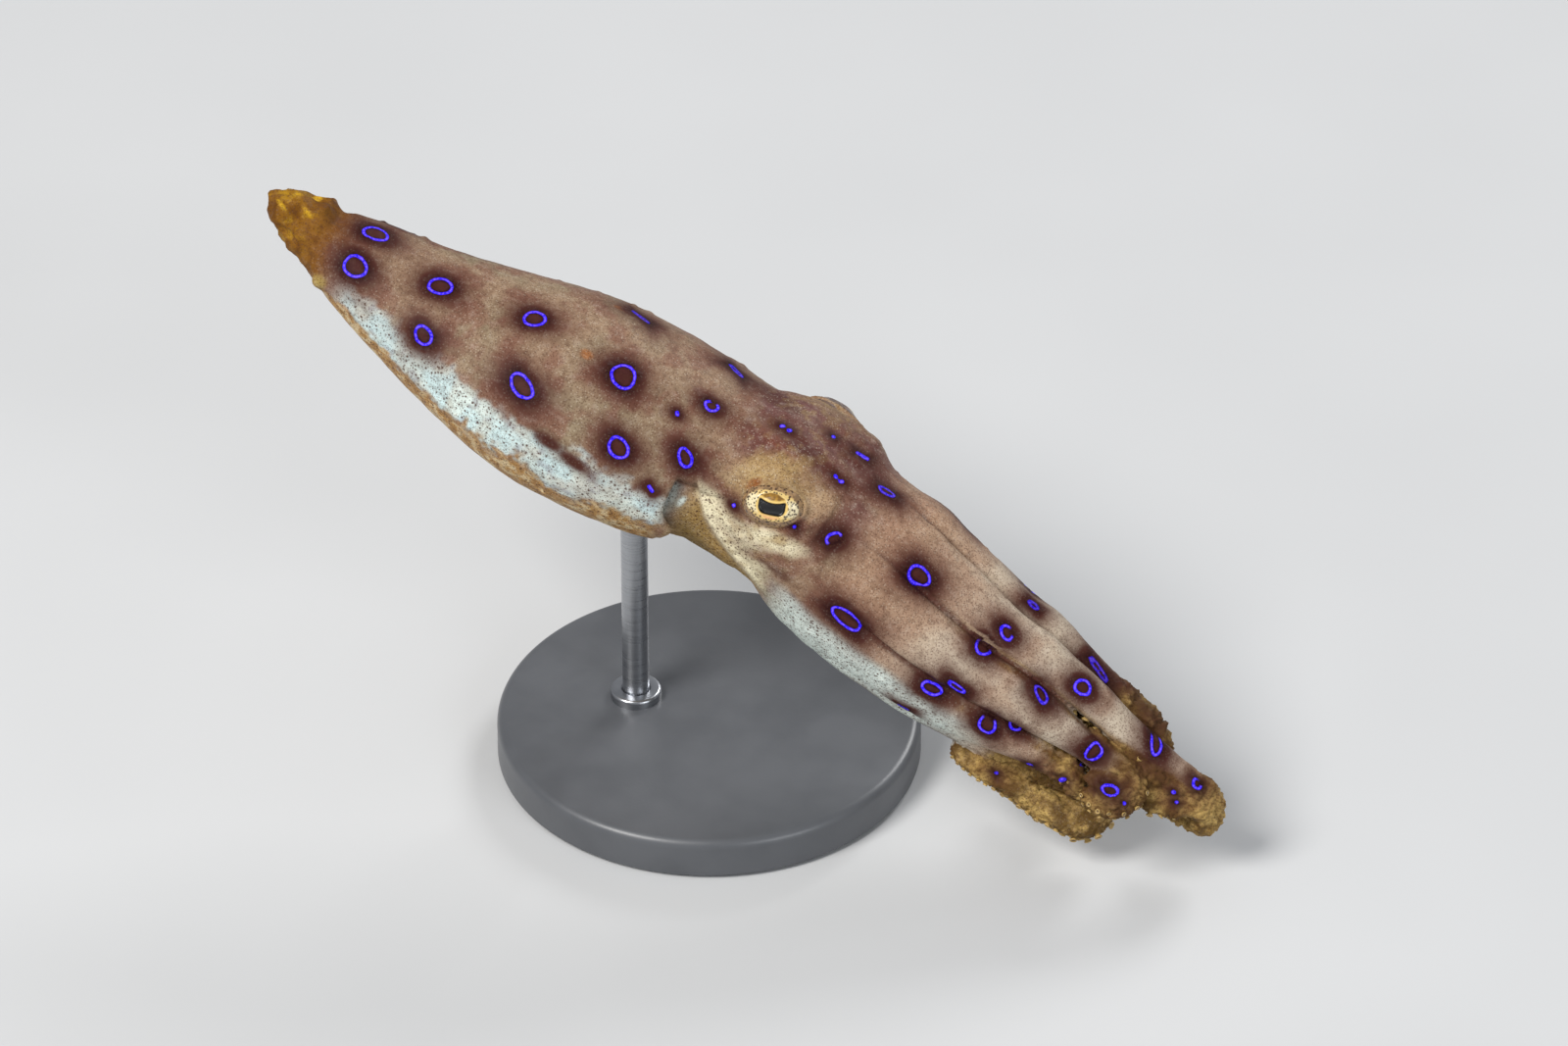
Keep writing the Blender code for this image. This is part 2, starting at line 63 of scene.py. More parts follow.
# Sections: distance from the mantle's tip, height of the middle, half width, half height
MANTLE_SECTIONS = (
    (0.0, 0.3, 0.5, 0.4),
    (0.9, 0.35, 1.1, 0.9),
    (2.6, 0.4, 2.1, 1.8),
    (5.5, -0.1, 3.0, 2.6),
    (9.5, -0.4, 4.6, 3.9),
    (16.4, -0.6, 6.5, 5.4),
    (23.3, -0.1, 8.4, 7.1),
    (30.2, 0.8, 10.0, 8.5),
    (37.1, 1.8, 10.3, 8.6),
    (42.5, 2.7, 9.7, 8.2),
    (46.0, 3.5, 8.9, 7.7),
)
HEAD_SECTIONS = (
    (42.0, 3.6, 7.3, 7.3),
    (46.0, 4.1, 6.9, 7.3),
    (50.0, 4.2, 6.8, 7.7),
    (54.0, 3.9, 7.0, 8.0),
    (58.0, 3.2, 7.8, 8.5),
)
CROWN_SECTIONS = (
    (57.0, 3.3, 7.7, 8.4),
    (60.0, 2.9, 8.1, 8.6),
    (64.6, 2.6, 8.3, 8.8),
    (68.1, 2.1, 8.0, 8.5),
    (71.5, 1.7, 7.7, 8.2),
    (75.0, 1.5, 7.3, 7.7),
    (78.4, 1.6, 7.0, 7.5),
    (81.9, 1.6, 6.5, 6.8),
    (85.3, 1.4, 6.1, 6.2),
    (88.8, 1.0, 5.5, 5.5),
    (92.2, 0.6, 5.0, 5.1),
    (97.0, 0.0, 4.4, 4.3),
)
MANTLE_EDGE = 44.0
MANTLE_EDGE_SLANT = 1.0
HEAD_END = 57.6
CROWN_END = 62.0
CROWN_RADIUS = 7.5

EYE_X = 51.9
EYE_TURN = math.radians(58.0)
EYE_SWELL = 2.2
EYE_SWELL_LENGTH = 5.4
EYE_SWELL_TURN = math.radians(36.0)
EYE_DEEP = 1.9
EYE_PROUD = 0.75
EYE_LONG = 3.0
EYE_HIGH = 2.15
EYE_SEEN_LONG = 2.42
EYE_SEEN_HIGH = 1.56
EYE_LEVEL = math.radians(24.0)

# Arms: first edge and last edge of the sector round the crown in degrees from the back, where the
# straight stretch ends, the turn the curl goes out on, the curl's radius, its sweep in degrees (out is
# positive), the straight run after it, the sweep of the last small curl, and how stout the curl is
ARMS = {
    "r1": (-4, 38, 96.6, 20, 2.0, -165, 1.8, -40, 1.36),
    "r2": (38, 83, 89.8, 116, 1.85, 185, 0.5, 50, 1.27),
    "r3": (83, 131, 85.6, 118, 3.2, 42, 0.3, 25, 1.22),
    "r4": (131, 178, 88.9, 146, 1.6, 178, 12.2, -10, 1.3),
    "l4": (178, 222, 85.4, 214, 1.7, 160, 4.5, 40, 1.15),
    "l3": (222, 267, 84.6, 252, 1.9, 135, 1.5, 60, 1.15),
    "l2": (267, 312, 85.6, 272, 14.0, -20, 0.4, -10, 1.12),
    "l1": (312, 354, 86.2, 346, 11.0, -27, 0.3, -15, 1.05),
}
ARM_START = CROWN_END + 0.3
ARM_INNER = 0.46
WEB_END = 65.0
WEB_FADE = 17.0
ARM_END_WIDTH = 0.42
ARM_END_HEIGHT = 0.38
CURL_HALF_WIDTH = 1.25
CURL_HALF_HEIGHT = 1.15
CURL_FULLNESS = 0.65
# The papillose flesh of the curls, over the solids' plain arms
CURL_FLESH = 0.3
# The fringe of flesh that hangs from an arm in the picture: distance along it, half length and depth
FRINGES = {"r1": (31.2, 2.7, 2.5)}

# The mantle's rounded free edge and the pocket behind it: how far ahead of the edge, and how deep
MANTLE_LIP = ((0.12, 0.12), (0.18, 0.35), (0.1, 0.6), (-0.3, 0.78), (-2.0, 0.95), (-4.0, 1.3))

FUNNEL_ROOT = Vector((41.0, 0.0, -2.9))
FUNNEL_TIP = Vector((52.2, 0.0, -4.2))
FUNNEL_ROOT_RADIUS = 2.7
FUNNEL_TIP_RADIUS = 1.25
FUNNEL_BORE = 0.95

# Points round the lofts that the skin is laid over, and the distance between an arm's sections
MANTLE_SIDES = 120
NAPE_SIDES = 96
HEAD_SIDES = 128
FUNNEL_SIDES = 40
ARM_SIDES = 36
CUSHION_SIDES = 24
ARM_STEP = 0.35
# An arm whose curl sweeps further than this gets a cushion in it, and how far each arm starts in the crown
FULL_CURL = math.radians(120)
ARM_BACK = -5.0

# Edge length of the skin's mesh, and the size of the grains of its ochre parts
SKIN_STEP = 0.17
GRAIN = 0.72

# Directions of the photograph in the body frame: across the body in the picture, and to the camera
PHOTO_UP = np.array((0.0, 0.658, 0.753))
PHOTO_BACK = np.array((0.0, -0.753, 0.658))
TIP_HEIGHT = MANTLE_SECTIONS[0][1]
# A distance that is outside the body on every side
OUTSIDE = 40.0

AZIMUTH = math.radians(21.4)
ELEVATION = math.radians(36.0)


def smooth_step(value):
    value = np.clip(value, 0.0, 1.0)
    return value * value * (3.0 - 2.0 * value)


def rise(value, start, length):
    """0 up to start and 1 from start + length on, smoothly between."""
    return smooth_step((value - start) / length)


def fall(value, end, length):
    """1 up to end - length and 0 from end on, smoothly between."""
    return smooth_step((end - value) / length)


def bell(value, width):
    return np.exp(-((value / width) ** 2))


def section_at(sections, x):
    """The height, half width and half height of a table of sections at x, on a smooth curve."""
    x = min(max(x, sections[0][0]), sections[-1][0])
    k = 0
    while k < len(sections) - 2 and x > sections[k + 1][0]:
        k += 1
    before, start = sections[max(k - 1, 0)], sections[k]
    end, after = sections[k + 1], sections[min(k + 2, len(sections) - 1)]
    span = end[0] - start[0]
    u = (x - start[0]) / span
    values = []
    for n in (1, 2, 3):
        slope_in = (end[n] - before[n]) / (end[0] - before[0]) * span
        slope_out = (after[n] - start[n]) / (after[0] - start[0]) * span
        values.append(
            start[n] * (1 + 2 * u) * (1 - u) ** 2
            + slope_in * u * (1 - u) ** 2
            + end[n] * u * u * (3 - 2 * u)
            + slope_out * u * u * (u - 1)
        )
    return values


def sections_along(sections, x):
    """section_at for an array of x, read off a fine table."""
    grid = np.linspace(sections[0][0], sections[-1][0], 600)
    fine = np.array([section_at(sections, value) for value in grid])
    return [np.interp(x, grid, fine[:, n]) for n in range(3)]


def on_section(sections, x, turn, reach=1.0):
    height, width, tall = section_at(sections, x)
    return Vector((x, -width * reach * math.sin(turn), height + tall * reach * math.cos(turn)))


def turn_between(a, b):
    return np.abs((a - b + np.pi) % (2.0 * np.pi) - np.pi)


def head_point(x, turn):
    point = on_section(HEAD_SECTIONS, x, turn)
    height = section_at(HEAD_SECTIONS, x)[0]
    outward = Vector((0.0, point.y, point.z - height)).normalized()
    along = math.exp(-(((x - EYE_X) / EYE_SWELL_LENGTH) ** 2))
    swell = 0.0
    for side in (EYE_TURN, -EYE_TURN):
        swell += EYE_SWELL * along * math.exp(-((turn_between(turn, side) / EYE_SWELL_TURN) ** 2))
    return point + outward * swell


def eye_frame(side):
    """The middle of an eye's surface and the directions along, up and out of the head there."""
    turn = EYE_TURN * side
    point = head_point(EYE_X, turn)
    step = 0.05
    along = (head_point(EYE_X + step, turn) - head_point(EYE_X - step, turn)).normalized()
    across = (head_point(EYE_X, turn - step * side) - head_point(EYE_X, turn + step * side)).normalized()
    out = along.cross(across)
    if out.y * -side < 0:
        out.negate()
    out.normalize()
    level = math.cos(EYE_LEVEL) * along + math.sin(EYE_LEVEL) * across
    up = math.cos(EYE_LEVEL) * across - math.sin(EYE_LEVEL) * along
    return point, level, up, out


def find_lift():
    """How far the body frame is raised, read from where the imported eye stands."""
    point, _, _, out = eye_frame(1)
    centre = point - out * (EYE_DEEP - EYE_PROUD)
    low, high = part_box("eye_right")
    return 0.5 * (low[2] + high[2]) / MM - (-math.sin(PITCH) * centre.x + math.cos(PITCH) * centre.z)


LIFT = find_lift()


def to_world(points):
    """Body points in millimetres to places in the world in metres."""
    points = np.asarray(points, dtype=float)
    x = math.cos(PITCH) * points[:, 0] + math.sin(PITCH) * points[:, 2] - SHIFT_X
    z = -math.sin(PITCH) * points[:, 0] + math.cos(PITCH) * points[:, 2] + LIFT
    return np.column_stack((x, points[:, 1], z)) * MM


def world_vector(point):
    return Vector(to_world([tuple(point)])[0])


def turns(sides):
    return [2.0 * math.pi * k / sides for k in range(sides)]


def rings_of(rows, sides, place):
    """The rings of a loft, from a function that gives the point of a row at a turn."""
    return [[place(row, t) for t in turns(sides)] for row in rows]


class Shell:
    """Points and faces of closed lofts, gathered into one mesh."""

    def __init__(self):
        self.points = []
        self.faces = []

    def add(self, rings):
        """A closed loft through rings, with its ends closed on their middles."""
        first = len(self.points)
        sides = len(rings[0])
        for ring in rings:
            self.points.extend(tuple(p) for p in ring)
        for row in range(len(rings) - 1):
            low = first + row * sides
            for k in range(sides):
                n = (k + 1) % sides
                self.faces.append((low + k, low + n, low + sides + n, low + sides + k))
        for ring, start, turned in ((rings[0], first, True), (rings[-1], len(self.points) - sides, False)):
            middle = np.mean([tuple(p) for p in ring], axis=0)
            self.points.append(tuple(middle))
            hub = len(self.points) - 1
            for k in range(sides):
                n = (k + 1) % sides
                corner = (start + n, start + k) if turned else (start + k, start + n)
                self.faces.append((*corner, hub))

    def mesh(self, name):
        mesh = bpy.data.meshes.new(name)
        mesh.from_pydata(self.points, [], self.faces)
        mesh.update()
        return mesh


def edge_of_mantle(turn):
    """Where the mantle's free edge lies, with the pointed fold it has low on each side."""
    away = turn_between(turn, 0.0)
    fold = 1.3 * math.exp(-(((away - math.radians(110)) / math.radians(13)) ** 2))
    return MANTLE_EDGE - MANTLE_EDGE_SLANT * math.cos(turn) + fold


def mantle_rings():
    """The mantle as a bag with a rounded free edge and a pocket behind it."""
    def place(row, turn):
        share, ahead, deep = row
        x = share * edge_of_mantle(turn) + ahead
        outer = on_section(MANTLE_SECTIONS, x, turn)
        middle = section_at(MANTLE_SECTIONS, x)[0]
        return outer + Vector((0.0, -outer.y, middle - outer.z)).normalized() * deep

    bag = [(share, 0.0, 0.0) for share in np.linspace(0.0, 1.0, 110) ** 1.3]
    lip = [(1.0, ahead, deep) for ahead, deep in MANTLE_LIP]
    return rings_of(bag + lip, MANTLE_SIDES, place)


def nape_rings():
    """The back of the neck, where mantle and head run into one another without an edge."""
    def place(x, turn):
        blend = float(rise(x, 41.5, 12.5))
        cover = float(fall(turn_between(turn, 0.0), math.radians(84), math.radians(26)))
        head = head_point(max(x, 42.0), turn)
        reach = 0.9 + 0.115 * float(rise(x, 38.0, 4.2))
        mantle = on_section(MANTLE_SECTIONS, min(x, MANTLE_EDGE), turn, reach)
        mantle.x = head.x = x
        under = Vector((x, 0.0, section_at(HEAD_SECTIONS, x)[0])).lerp(head, 0.9)
        return under.lerp(mantle.lerp(head, blend), cover * (1.0 - 0.04 * blend))

    return rings_of(np.linspace(38.0, 56.5, 60), NAPE_SIDES, place)


def trunk_point(x, turn):
    """The head running into the crown of arms."""
    crown = on_section(CROWN_SECTIONS, x, turn)
    return head_point(x, turn).lerp(crown, float(rise(x, 54.5, 7.0)))


def head_rings():
    """The neck, head, crown and the web that ties the arms' roots together."""
    def place(x, turn):
        reach = 1.0 - 0.32 * float(rise(x, 60.5, 15.0)) - 0.26 * float(fall(x, 44.5, 4.5))
        wider = 0.15 * float(fall(x, 49.0, 5.0))
        middle = Vector((x, 0.0, section_at(CROWN_SECTIONS if x > 58 else HEAD_SECTIONS, x)[0]))
        return middle.lerp(trunk_point(x, turn), reach + wider * float(fall(math.cos(turn), 0.5, 0.8)))

    return rings_of(np.linspace(37.0, 76.5, 130), HEAD_SIDES, place)


def funnel_rings():
    """The funnel, tapered to a rim with an open bore."""
    axis = (FUNNEL_TIP - FUNNEL_ROOT).normalized()
    side = Vector((0.0, 1.0, 0.0))
    up = side.cross(axis)
    length = (FUNNEL_TIP - FUNNEL_ROOT).length
    taper = FUNNEL_TIP_RADIUS - FUNNEL_ROOT_RADIUS
    profile = [(length * step, FUNNEL_ROOT_RADIUS + taper * step) for step in np.linspace(0.0, 0.97, 24)]
    profile += [
        (length + 0.05, 0.5 * (FUNNEL_TIP_RADIUS + FUNNEL_BORE) + 0.12),
        (length, FUNNEL_BORE),
        (length - 1.2, FUNNEL_BORE * 0.85),
        (length - 2.6, FUNNEL_BORE * 0.6),
    ]

    def place(row, turn):
        along, radius = row
        middle = FUNNEL_ROOT + axis * along
        return middle + side * (radius * math.cos(turn)) + up * (0.85 * radius * math.sin(turn))

    return rings_of(profile, FUNNEL_SIDES, place)


def super_round(angle, power):
    """A point of the unit superellipse, so a high power gives a squarer section."""
    c, s = math.cos(angle), math.sin(angle)
    return (
        math.copysign(abs(c) ** (2.0 / power), c),
        math.copysign(abs(s) ** (2.0 / power), s),
    )


class Arm:
    """One arm as a row of sections: a wedge of the crown that rounds off and runs into its curl."""

    def __init__(self, name):
        first, last, end, curl_turn, self.curl_radius, sweep, self.run, end_sweep, self.stout = ARMS[name]
        self.name = name
        self.first, self.last = math.radians(first), math.radians(last)
        self.middle = 0.5 * (self.first + self.last)
        self.sweep, self.end_sweep = math.radians(sweep), math.radians(end_sweep)
        turn = math.radians(curl_turn)
        self.curl_out = Vector((0.0, -math.sin(turn), math.cos(turn)))
        self.end_radius = 0.55 * self.curl_radius
        self.curl_arc = abs(self.sweep) * self.curl_radius
        self.end_arc = abs(self.end_sweep) * self.end_radius
        self.straight = end - ARM_START
        self.length = self.straight + self.curl_arc + self.run + self.end_arc

    def wedge_ring(self, x, sides):
        """The section while the arm lies in its sector, first webbed to its neighbours, then free."""
        freed = float(rise(x, WEB_END, WEB_FADE))
        power = 4.4 - 2.2 * freed
        gap = -0.3 + 0.32 * float(rise(x, 60.0, 14.0))
        sunk = 0.965 + 0.035 * float(rise(x, 57.5, 6.0))
        _, width, tall = section_at(CROWN_SECTIONS, x)
        half_reach = 0.5 * (1.0 - ARM_INNER)
        ring = []
        for angle in turns(sides):
            out, across = super_round(angle, power)
            reach = (ARM_INNER + half_reach * (1.0 + out)) * sunk
            half_turn = 0.5 * (self.last - self.first) - 0.5 * gap / (reach * 0.5 * (width + tall))
            ring.append(on_section(CROWN_SECTIONS, x, self.middle + half_turn * across, reach))
        return ring

    def path(self, distance):
        """The middle, forward and outward directions of the free arm at a distance along it."""
        forward0 = Vector((1.0, 0.0, 0.0))
        out0 = self.curl_out
        reach = 0.5 * (1.0 + ARM_INNER)
        point = on_section(CROWN_SECTIONS, ARM_START + min(distance, self.straight), self.middle, reach)
        angle = 0.0
        left = distance - self.straight
        for arc, radius, sweep in (
            (self.curl_arc, self.curl_radius, self.sweep),
            (self.run, 0.0, 0.0),
            (self.end_arc, self.end_radius, self.end_sweep),
        ):
            if left <= 0.0:
                break
            go = min(left, arc)
            if sweep:
                bend = math.copysign(radius, sweep)
                after = angle + go / bend
                point += forward0 * (bend * (math.sin(after) - math.sin(angle)))
                point += out0 * (bend * (math.cos(angle) - math.cos(after)))
                angle = after
            else:
                point += (forward0 * math.cos(angle) + out0 * math.sin(angle)) * go
            left -= arc
        forward = forward0 * math.cos(angle) + out0 * math.sin(angle)
        outward = out0 * math.cos(angle) - forward0 * math.sin(angle)
        return point, forward, outward

    def cushion(self):
        """Rings round the middle of a full curl, where the suckers of the rolled arm press together."""
        half_curl = self.straight + 0.5 * self.curl_arc
        point, forward, outward = self.path(half_curl)
        centre = point + outward * math.copysign(self.curl_radius, self.sweep)
        across = forward.cross(outward)
        width, _ = self.half_sizes(half_curl)

        def place(step, turn):
            reach = self.curl_radius * math.sqrt(1.0 - step * step)
            flat = forward * (reach * math.cos(turn)) + outward * (reach * math.sin(turn))
            return centre + flat + across * (0.72 * width * step)

        return half_curl, rings_of(np.linspace(-0.97, 0.97, 15), CUSHION_SIDES, place)

    def half_sizes(self, distance):
        """Half width and half thickness of the free arm, which tapers to its tip."""
        left = (self.length - distance) / (self.length - self.straight)
        swell = min(max(left, 0.0), 1.0) ** CURL_FULLNESS
        flesh = CURL_FLESH * float(rise(distance - self.straight, -2.0, 4.0))
        return (
            ARM_END_WIDTH + (CURL_HALF_WIDTH * self.stout - ARM_END_WIDTH) * swell + flesh,
            ARM_END_HEIGHT + (CURL_HALF_HEIGHT * self.stout - ARM_END_HEIGHT) * swell + flesh,
        )

    def ring(self, distance, sides):
        """The section at a distance along the arm, its wedge melting into the round curl."""
        point, forward, outward = self.path(distance)
        across = forward.cross(outward)
        width, thick = self.half_sizes(distance)
        swept = []
        for angle in turns(sides):
            swept.append(point + outward * (thick * math.cos(angle)) + across * (width * math.sin(angle)))
        melt = float(rise(distance - self.straight, -9.0, 9.0))
        if melt < 1.0:
            wedge = self.wedge_ring(ARM_START + distance, sides)
            swept = [a.lerp(b, melt) for a, b in zip(wedge, swept)]
        if self.name in FRINGES:
            middle, half, depth = FRINGES[self.name]
            depth *= float(bell(distance - middle, half))
            up = Vector(PHOTO_UP)
            swept = [p - up * (depth * min(max((point - p).dot(up) / thick, 0.0), 1.0)) for p in swept]
        return swept


def arm_shells(shell):
    """Every arm, and where each of its points is: arm, distance along it and angle from its outer side."""
    places = []
    for number, name in enumerate(ARMS):
        arm = Arm(name)
        rings = []
        for distance in np.arange(ARM_BACK, arm.length, ARM_STEP):
            ring = arm.ring(distance, ARM_SIDES)
            rings.append(ring)
            for angle, point in zip(turns(ARM_SIDES), ring):
                places.append((point, number, distance, angle))
        rings.append([arm.path(arm.length)[0].lerp(p, 0.35) for p in arm.ring(arm.length, ARM_SIDES)])
        shell.add(rings)
        if abs(arm.sweep) > FULL_CURL:
            half_curl, rings = arm.cushion()
            shell.add(rings)
            for ring in rings:
                places.extend((point, number, half_curl, math.pi) for point in ring)
    return places


def placed(name, data):
    """A new object in the scene."""
    made = bpy.data.objects.new(name, data)
    bpy.context.scene.collection.objects.link(made)
    return made


def remeshed(shell, step):
    """One closed surface round all the lofts of a shell."""
    source = placed("skin_source", shell.mesh("skin_source"))
    union = source.modifiers.new("union", "REMESH")
    union.mode = "VOXEL"
    union.voxel_size = step
    graph = bpy.context.evaluated_depsgraph_get()
    mesh = bpy.data.meshes.new_from_object(source.evaluated_get(graph))
    bpy.data.objects.remove(source)
    return mesh


def read(items, key, width, kind=np.float32):
    """The values that a mesh keeps under a key, as a row for each item."""
    flat = np.empty(len(items) * width, dtype=kind)
    items.foreach_get(key, flat)
    return flat.reshape(-1, width)


def points_of(mesh):
    return read(mesh.vertices, "co", 3).astype(float)


def normals_of(mesh):
    return read(mesh.vertex_normals, "vector", 3).astype(float)


def edges_of(mesh):
    return read(mesh.edges, "vertices", 2, np.int32)


def set_points(mesh, points):
    mesh.vertices.foreach_set("co", points.astype(np.float32).ravel())
    mesh.update()


def tree_of(points):
    """A tree that finds the nearest of some points."""
    tree = KDTree(len(points))
    for n, point in enumerate(points):
        tree.insert(point, n)
    tree.balance()
    return tree


def drop_specks(mesh):
    """Keeps a mesh's largest part, without the loose specks a remesh leaves where arms nearly touch."""
    edges = edges_of(mesh)
    part = np.arange(len(mesh.vertices))
    while True:
        joined = part.copy()
        np.minimum.at(joined, edges.ravel(), np.repeat(part[edges].min(axis=1), 2))
        joined = joined[joined]
        if np.array_equal(joined, part):
            break
        part = joined
    _, number, sizes = np.unique(part, return_inverse=True, return_counts=True)
    loose = np.nonzero(number != np.argmax(sizes))[0]
    cut = bmesh.new()
    cut.from_mesh(mesh)
    cut.verts.ensure_lookup_table()
    bmesh.ops.delete(cut, geom=[cut.verts[n] for n in loose], context="VERTS")
    cut.to_mesh(mesh)
    cut.free()


def relaxed(points, edges, rounds):
    """Moves each point toward the mean of its neighbours, then most of the way back, round by round."""
    count = np.bincount(edges.ravel(), minlength=len(points))[:, None]
    for amount in (0.6, -0.62) * rounds:
        total = np.zeros_like(points)
        for axis in range(3):
            total[:, axis] = np.bincount(edges[:, 0], points[edges[:, 1], axis], len(points))
            total[:, axis] += np.bincount(edges[:, 1], points[edges[:, 0], axis], len(points))
        points = points + amount * (total / np.maximum(count, 1) - points)
    return points


LATTICE = 32


def value_noise(points, size, seed):
    """Smooth noise from 0 to 1 with lumps of about the given size."""
    table = np.random.default_rng(seed).random((LATTICE,) * 3)
    at = points / size
    base = np.floor(at).astype(int)
    part = at - base
    part = part * part * (3.0 - 2.0 * part)
    total = np.zeros(len(points))
    for offset in itertools.product((0, 1), repeat=3):
        weight = 1.0
        for n, far in enumerate(offset):
            weight = weight * (part[:, n] if far else 1.0 - part[:, n])
        total += weight * table[tuple(((base + offset) % LATTICE).T)]
    return total


def layered_noise(points, size, seed, layers=3):
    total, weight = 0.0, 0.0
    for layer in range(layers):
        share = 0.55 ** layer
        total = total + share * value_noise(points, size * 0.5 ** layer, seed + layer)
        weight += share
    return total / weight


def grain_bumps(points, size, seed):
    """Rounded grains packed side by side: 1 on top of a grain, 0 in the creases between."""
    table = np.random.default_rng(seed).random((LATTICE, LATTICE, LATTICE, 3))
    at = points / size
    base = np.floor(at).astype(int)
    nearest, second = np.full((2, len(points)), 9.0)
    for offset in itertools.product((-1, 0, 1), repeat=3):
        cell = base + offset
        gap = np.linalg.norm(cell + table[tuple((cell % LATTICE).T)] - at, axis=1)
        second = np.minimum(second, np.maximum(gap, nearest))
        nearest = np.minimum(nearest, gap)
    return np.sqrt(rise(second, nearest, 0.75))


def grain_places(points):
    """The places grains are drawn at, shifted by noise so that the grains aren't alike."""
    shift = [value_noise(points, 1.1, seed) - 0.5 for seed in (51, 52, 53)]
    return points + 0.7 * np.column_stack(shift)


class Skin:
    """The skin's points with their places on the body: turn round it, arm, distance and angle."""

    def __init__(self):
        shell = Shell()
        for rings in (mantle_rings(), nape_rings(), head_rings(), funnel_rings()):
            shell.add(rings)
        places = arm_shells(shell)
        self.mesh = remeshed(shell, SKIN_STEP)
        drop_specks(self.mesh)
        self.points = relaxed(points_of(self.mesh), edges_of(self.mesh), 3)
        set_points(self.mesh, self.points)
        self.normals = normals_of(self.mesh)
        self.find_turns()
        self.find_arms(places)

    def find_turns(self):
        x, y, z = self.points.T
        tables = [sections_along(table, x) for table in (MANTLE_SECTIONS, HEAD_SECTIONS, CROWN_SECTIONS)]
        on_head, on_crown = rise(x, 43.0, 3.0), rise(x, 55.0, 5.0)
        height, width, tall = (
            (m * (1 - on_head) + h * on_head) * (1 - on_crown) + c * on_crown for m, h, c in zip(*tables)
        )
        self.turn = np.arctan2(-y / width, (z - height) / tall)
        self.reach = np.hypot(y / width, (z - height) / tall)

    def find_arms(self, places):
        tree = tree_of([place[0] for place in places])
        self.arm = np.full(len(self.points), -1)
        self.distance, self.angle = np.zeros((2, len(self.points)))
        for n in np.nonzero(self.points[:, 0] > ARM_START + ARM_BACK)[0]:
            nearest = tree.find(self.points[n])[1]
            _, self.arm[n], self.distance[n], self.angle[n] = places[nearest]
        self.angle = turn_between(self.angle, 0.0)

    def move(self, amount):
        """Moves each point along its normal."""
        self.points = self.points + self.normals * amount[:, None]
        set_points(self.mesh, self.points)
        self.normals = normals_of(self.mesh)

    def find_surface(self):
        """Keeps the surface as it is now, for lines and nearest points to meet."""
        faces = [tuple(face.vertices) for face in self.mesh.polygons]
        self.bvh = BVHTree.FromPolygons([tuple(p) for p in self.points], faces)


# The orange cap's length, the placed papillae as (x, turn in degrees, radius, height), and how many small
# ones are scattered
CAP_LENGTH = 7.2
PAPILLAE = (
    (7.9, 106.0, 0.75, 0.7),
    (33.2, 24.0, 0.5, 0.4),
    (60.2, 40.0, 0.5, 0.22),
    (78.4, 52.0, 0.45, 0.2),
    (70.4, 132.0, 0.4, 0.3),
)
SMALL_PAPILLAE = 150


def eye_places(skin, side):
    """Distance from an eye's middle in units of its seen half sizes, and height out of the head."""
    point, level, up, out = eye_frame(side)
    offset = skin.points - np.array(point)
    a = offset @ np.array(level)
    b = offset @ np.array(up)
    c = offset @ np.array(out)
    return np.hypot(a / EYE_SEEN_LONG, b / EYE_SEEN_HIGH), np.arctan2(b, a), c


def skin_point(skin, x, turn):
    """Where a line in from outside at a distance and turn meets the skin, and the normal there."""
    table = MANTLE_SECTIONS if x < MANTLE_EDGE else HEAD_SECTIONS if x < HEAD_END else CROWN_SECTIONS
    outside = on_section(table, x, turn, 1.8)
    inward = Vector((x, 0.0, section_at(table, x)[0])) - outside
    spot, normal, _, _ = skin.bvh.ray_cast(outside, inward.normalized())
    return spot, normal


def photo_point(skin, along, up):
    """The skin's point that the photograph shows at a place along and across the body."""
    start = PHOTO_UP * (up + PHOTO_UP[2] * TIP_HEIGHT) + PHOTO_BACK * OUTSIDE
    start[0] = along
    spot, normal, _, _ = skin.bvh.ray_cast(Vector(start), Vector(-PHOTO_BACK))
    return spot, normal


# The head's lower margin over the neck and funnel: place along the body and up in the picture
HEAD_MARGIN = (
    (44.6, 1.2),
    (45.3, 0.1),
    (47.4, -2.1),
    (49.0, -2.9),
    (51.4, -3.7),
    (53.7, -4.3),
    (56.0, -5.2),
)


def flank_up(skin):
    """How high each point would lie in the picture if its own flank were the one shown."""
    _, y, z = skin.points.T
    return z * PHOTO_UP[2] - np.abs(y) * PHOTO_UP[1] - PHOTO_UP[2] * TIP_HEIGHT


def margin_gap(skin):
    """How far each point is above the head's lower margin, and where that margin is."""
    x, y, _ = skin.points.T
    gap = 0.75 * (flank_up(skin) - np.interp(x, *zip(*HEAD_MARGIN)))
    there = rise(x, 44.8, 0.8) * (1.0 - rise(x, 53.5, 2.5))
    return gap, there * rise(np.abs(y), 1.0, 1.5)


def raise_cap(height, skin):
    """The crumpled cap at the mantle's tip, with the rim and the lobes beside it."""
    points, turn, x = skin.points, skin.turn, skin.points[:, 0]
    cap = 1.0 - rise(x, 3.5, CAP_LENGTH - 2.0)
    crumple = layered_noise(points * (0.55, 1.0, 1.0), 1.7, 11)
    ridge = 1.0 - np.abs(2.0 * crumple - 1.0) * 2.6
    height += cap * (0.5 * np.clip(ridge, -0.2, 1.0) - 0.2)
    height += 0.2 * bell(x - 2.4, 1.6)
    over = smooth_step(np.cos(turn + 0.55) + 0.2)
    height += bell(x - 4.9, 0.8) * over * (0.3 + 0.6 * value_noise(points, 1.4, 5))
    height -= 0.25 * bell(x - 6.2, 0.5) * over
    lobes = bell(x - 2.6, 2.2) * smooth_step(np.cos(turn - 1.6))
    height += 1.1 * lobes * (value_noise(points, 1.6, 6) - 0.5)


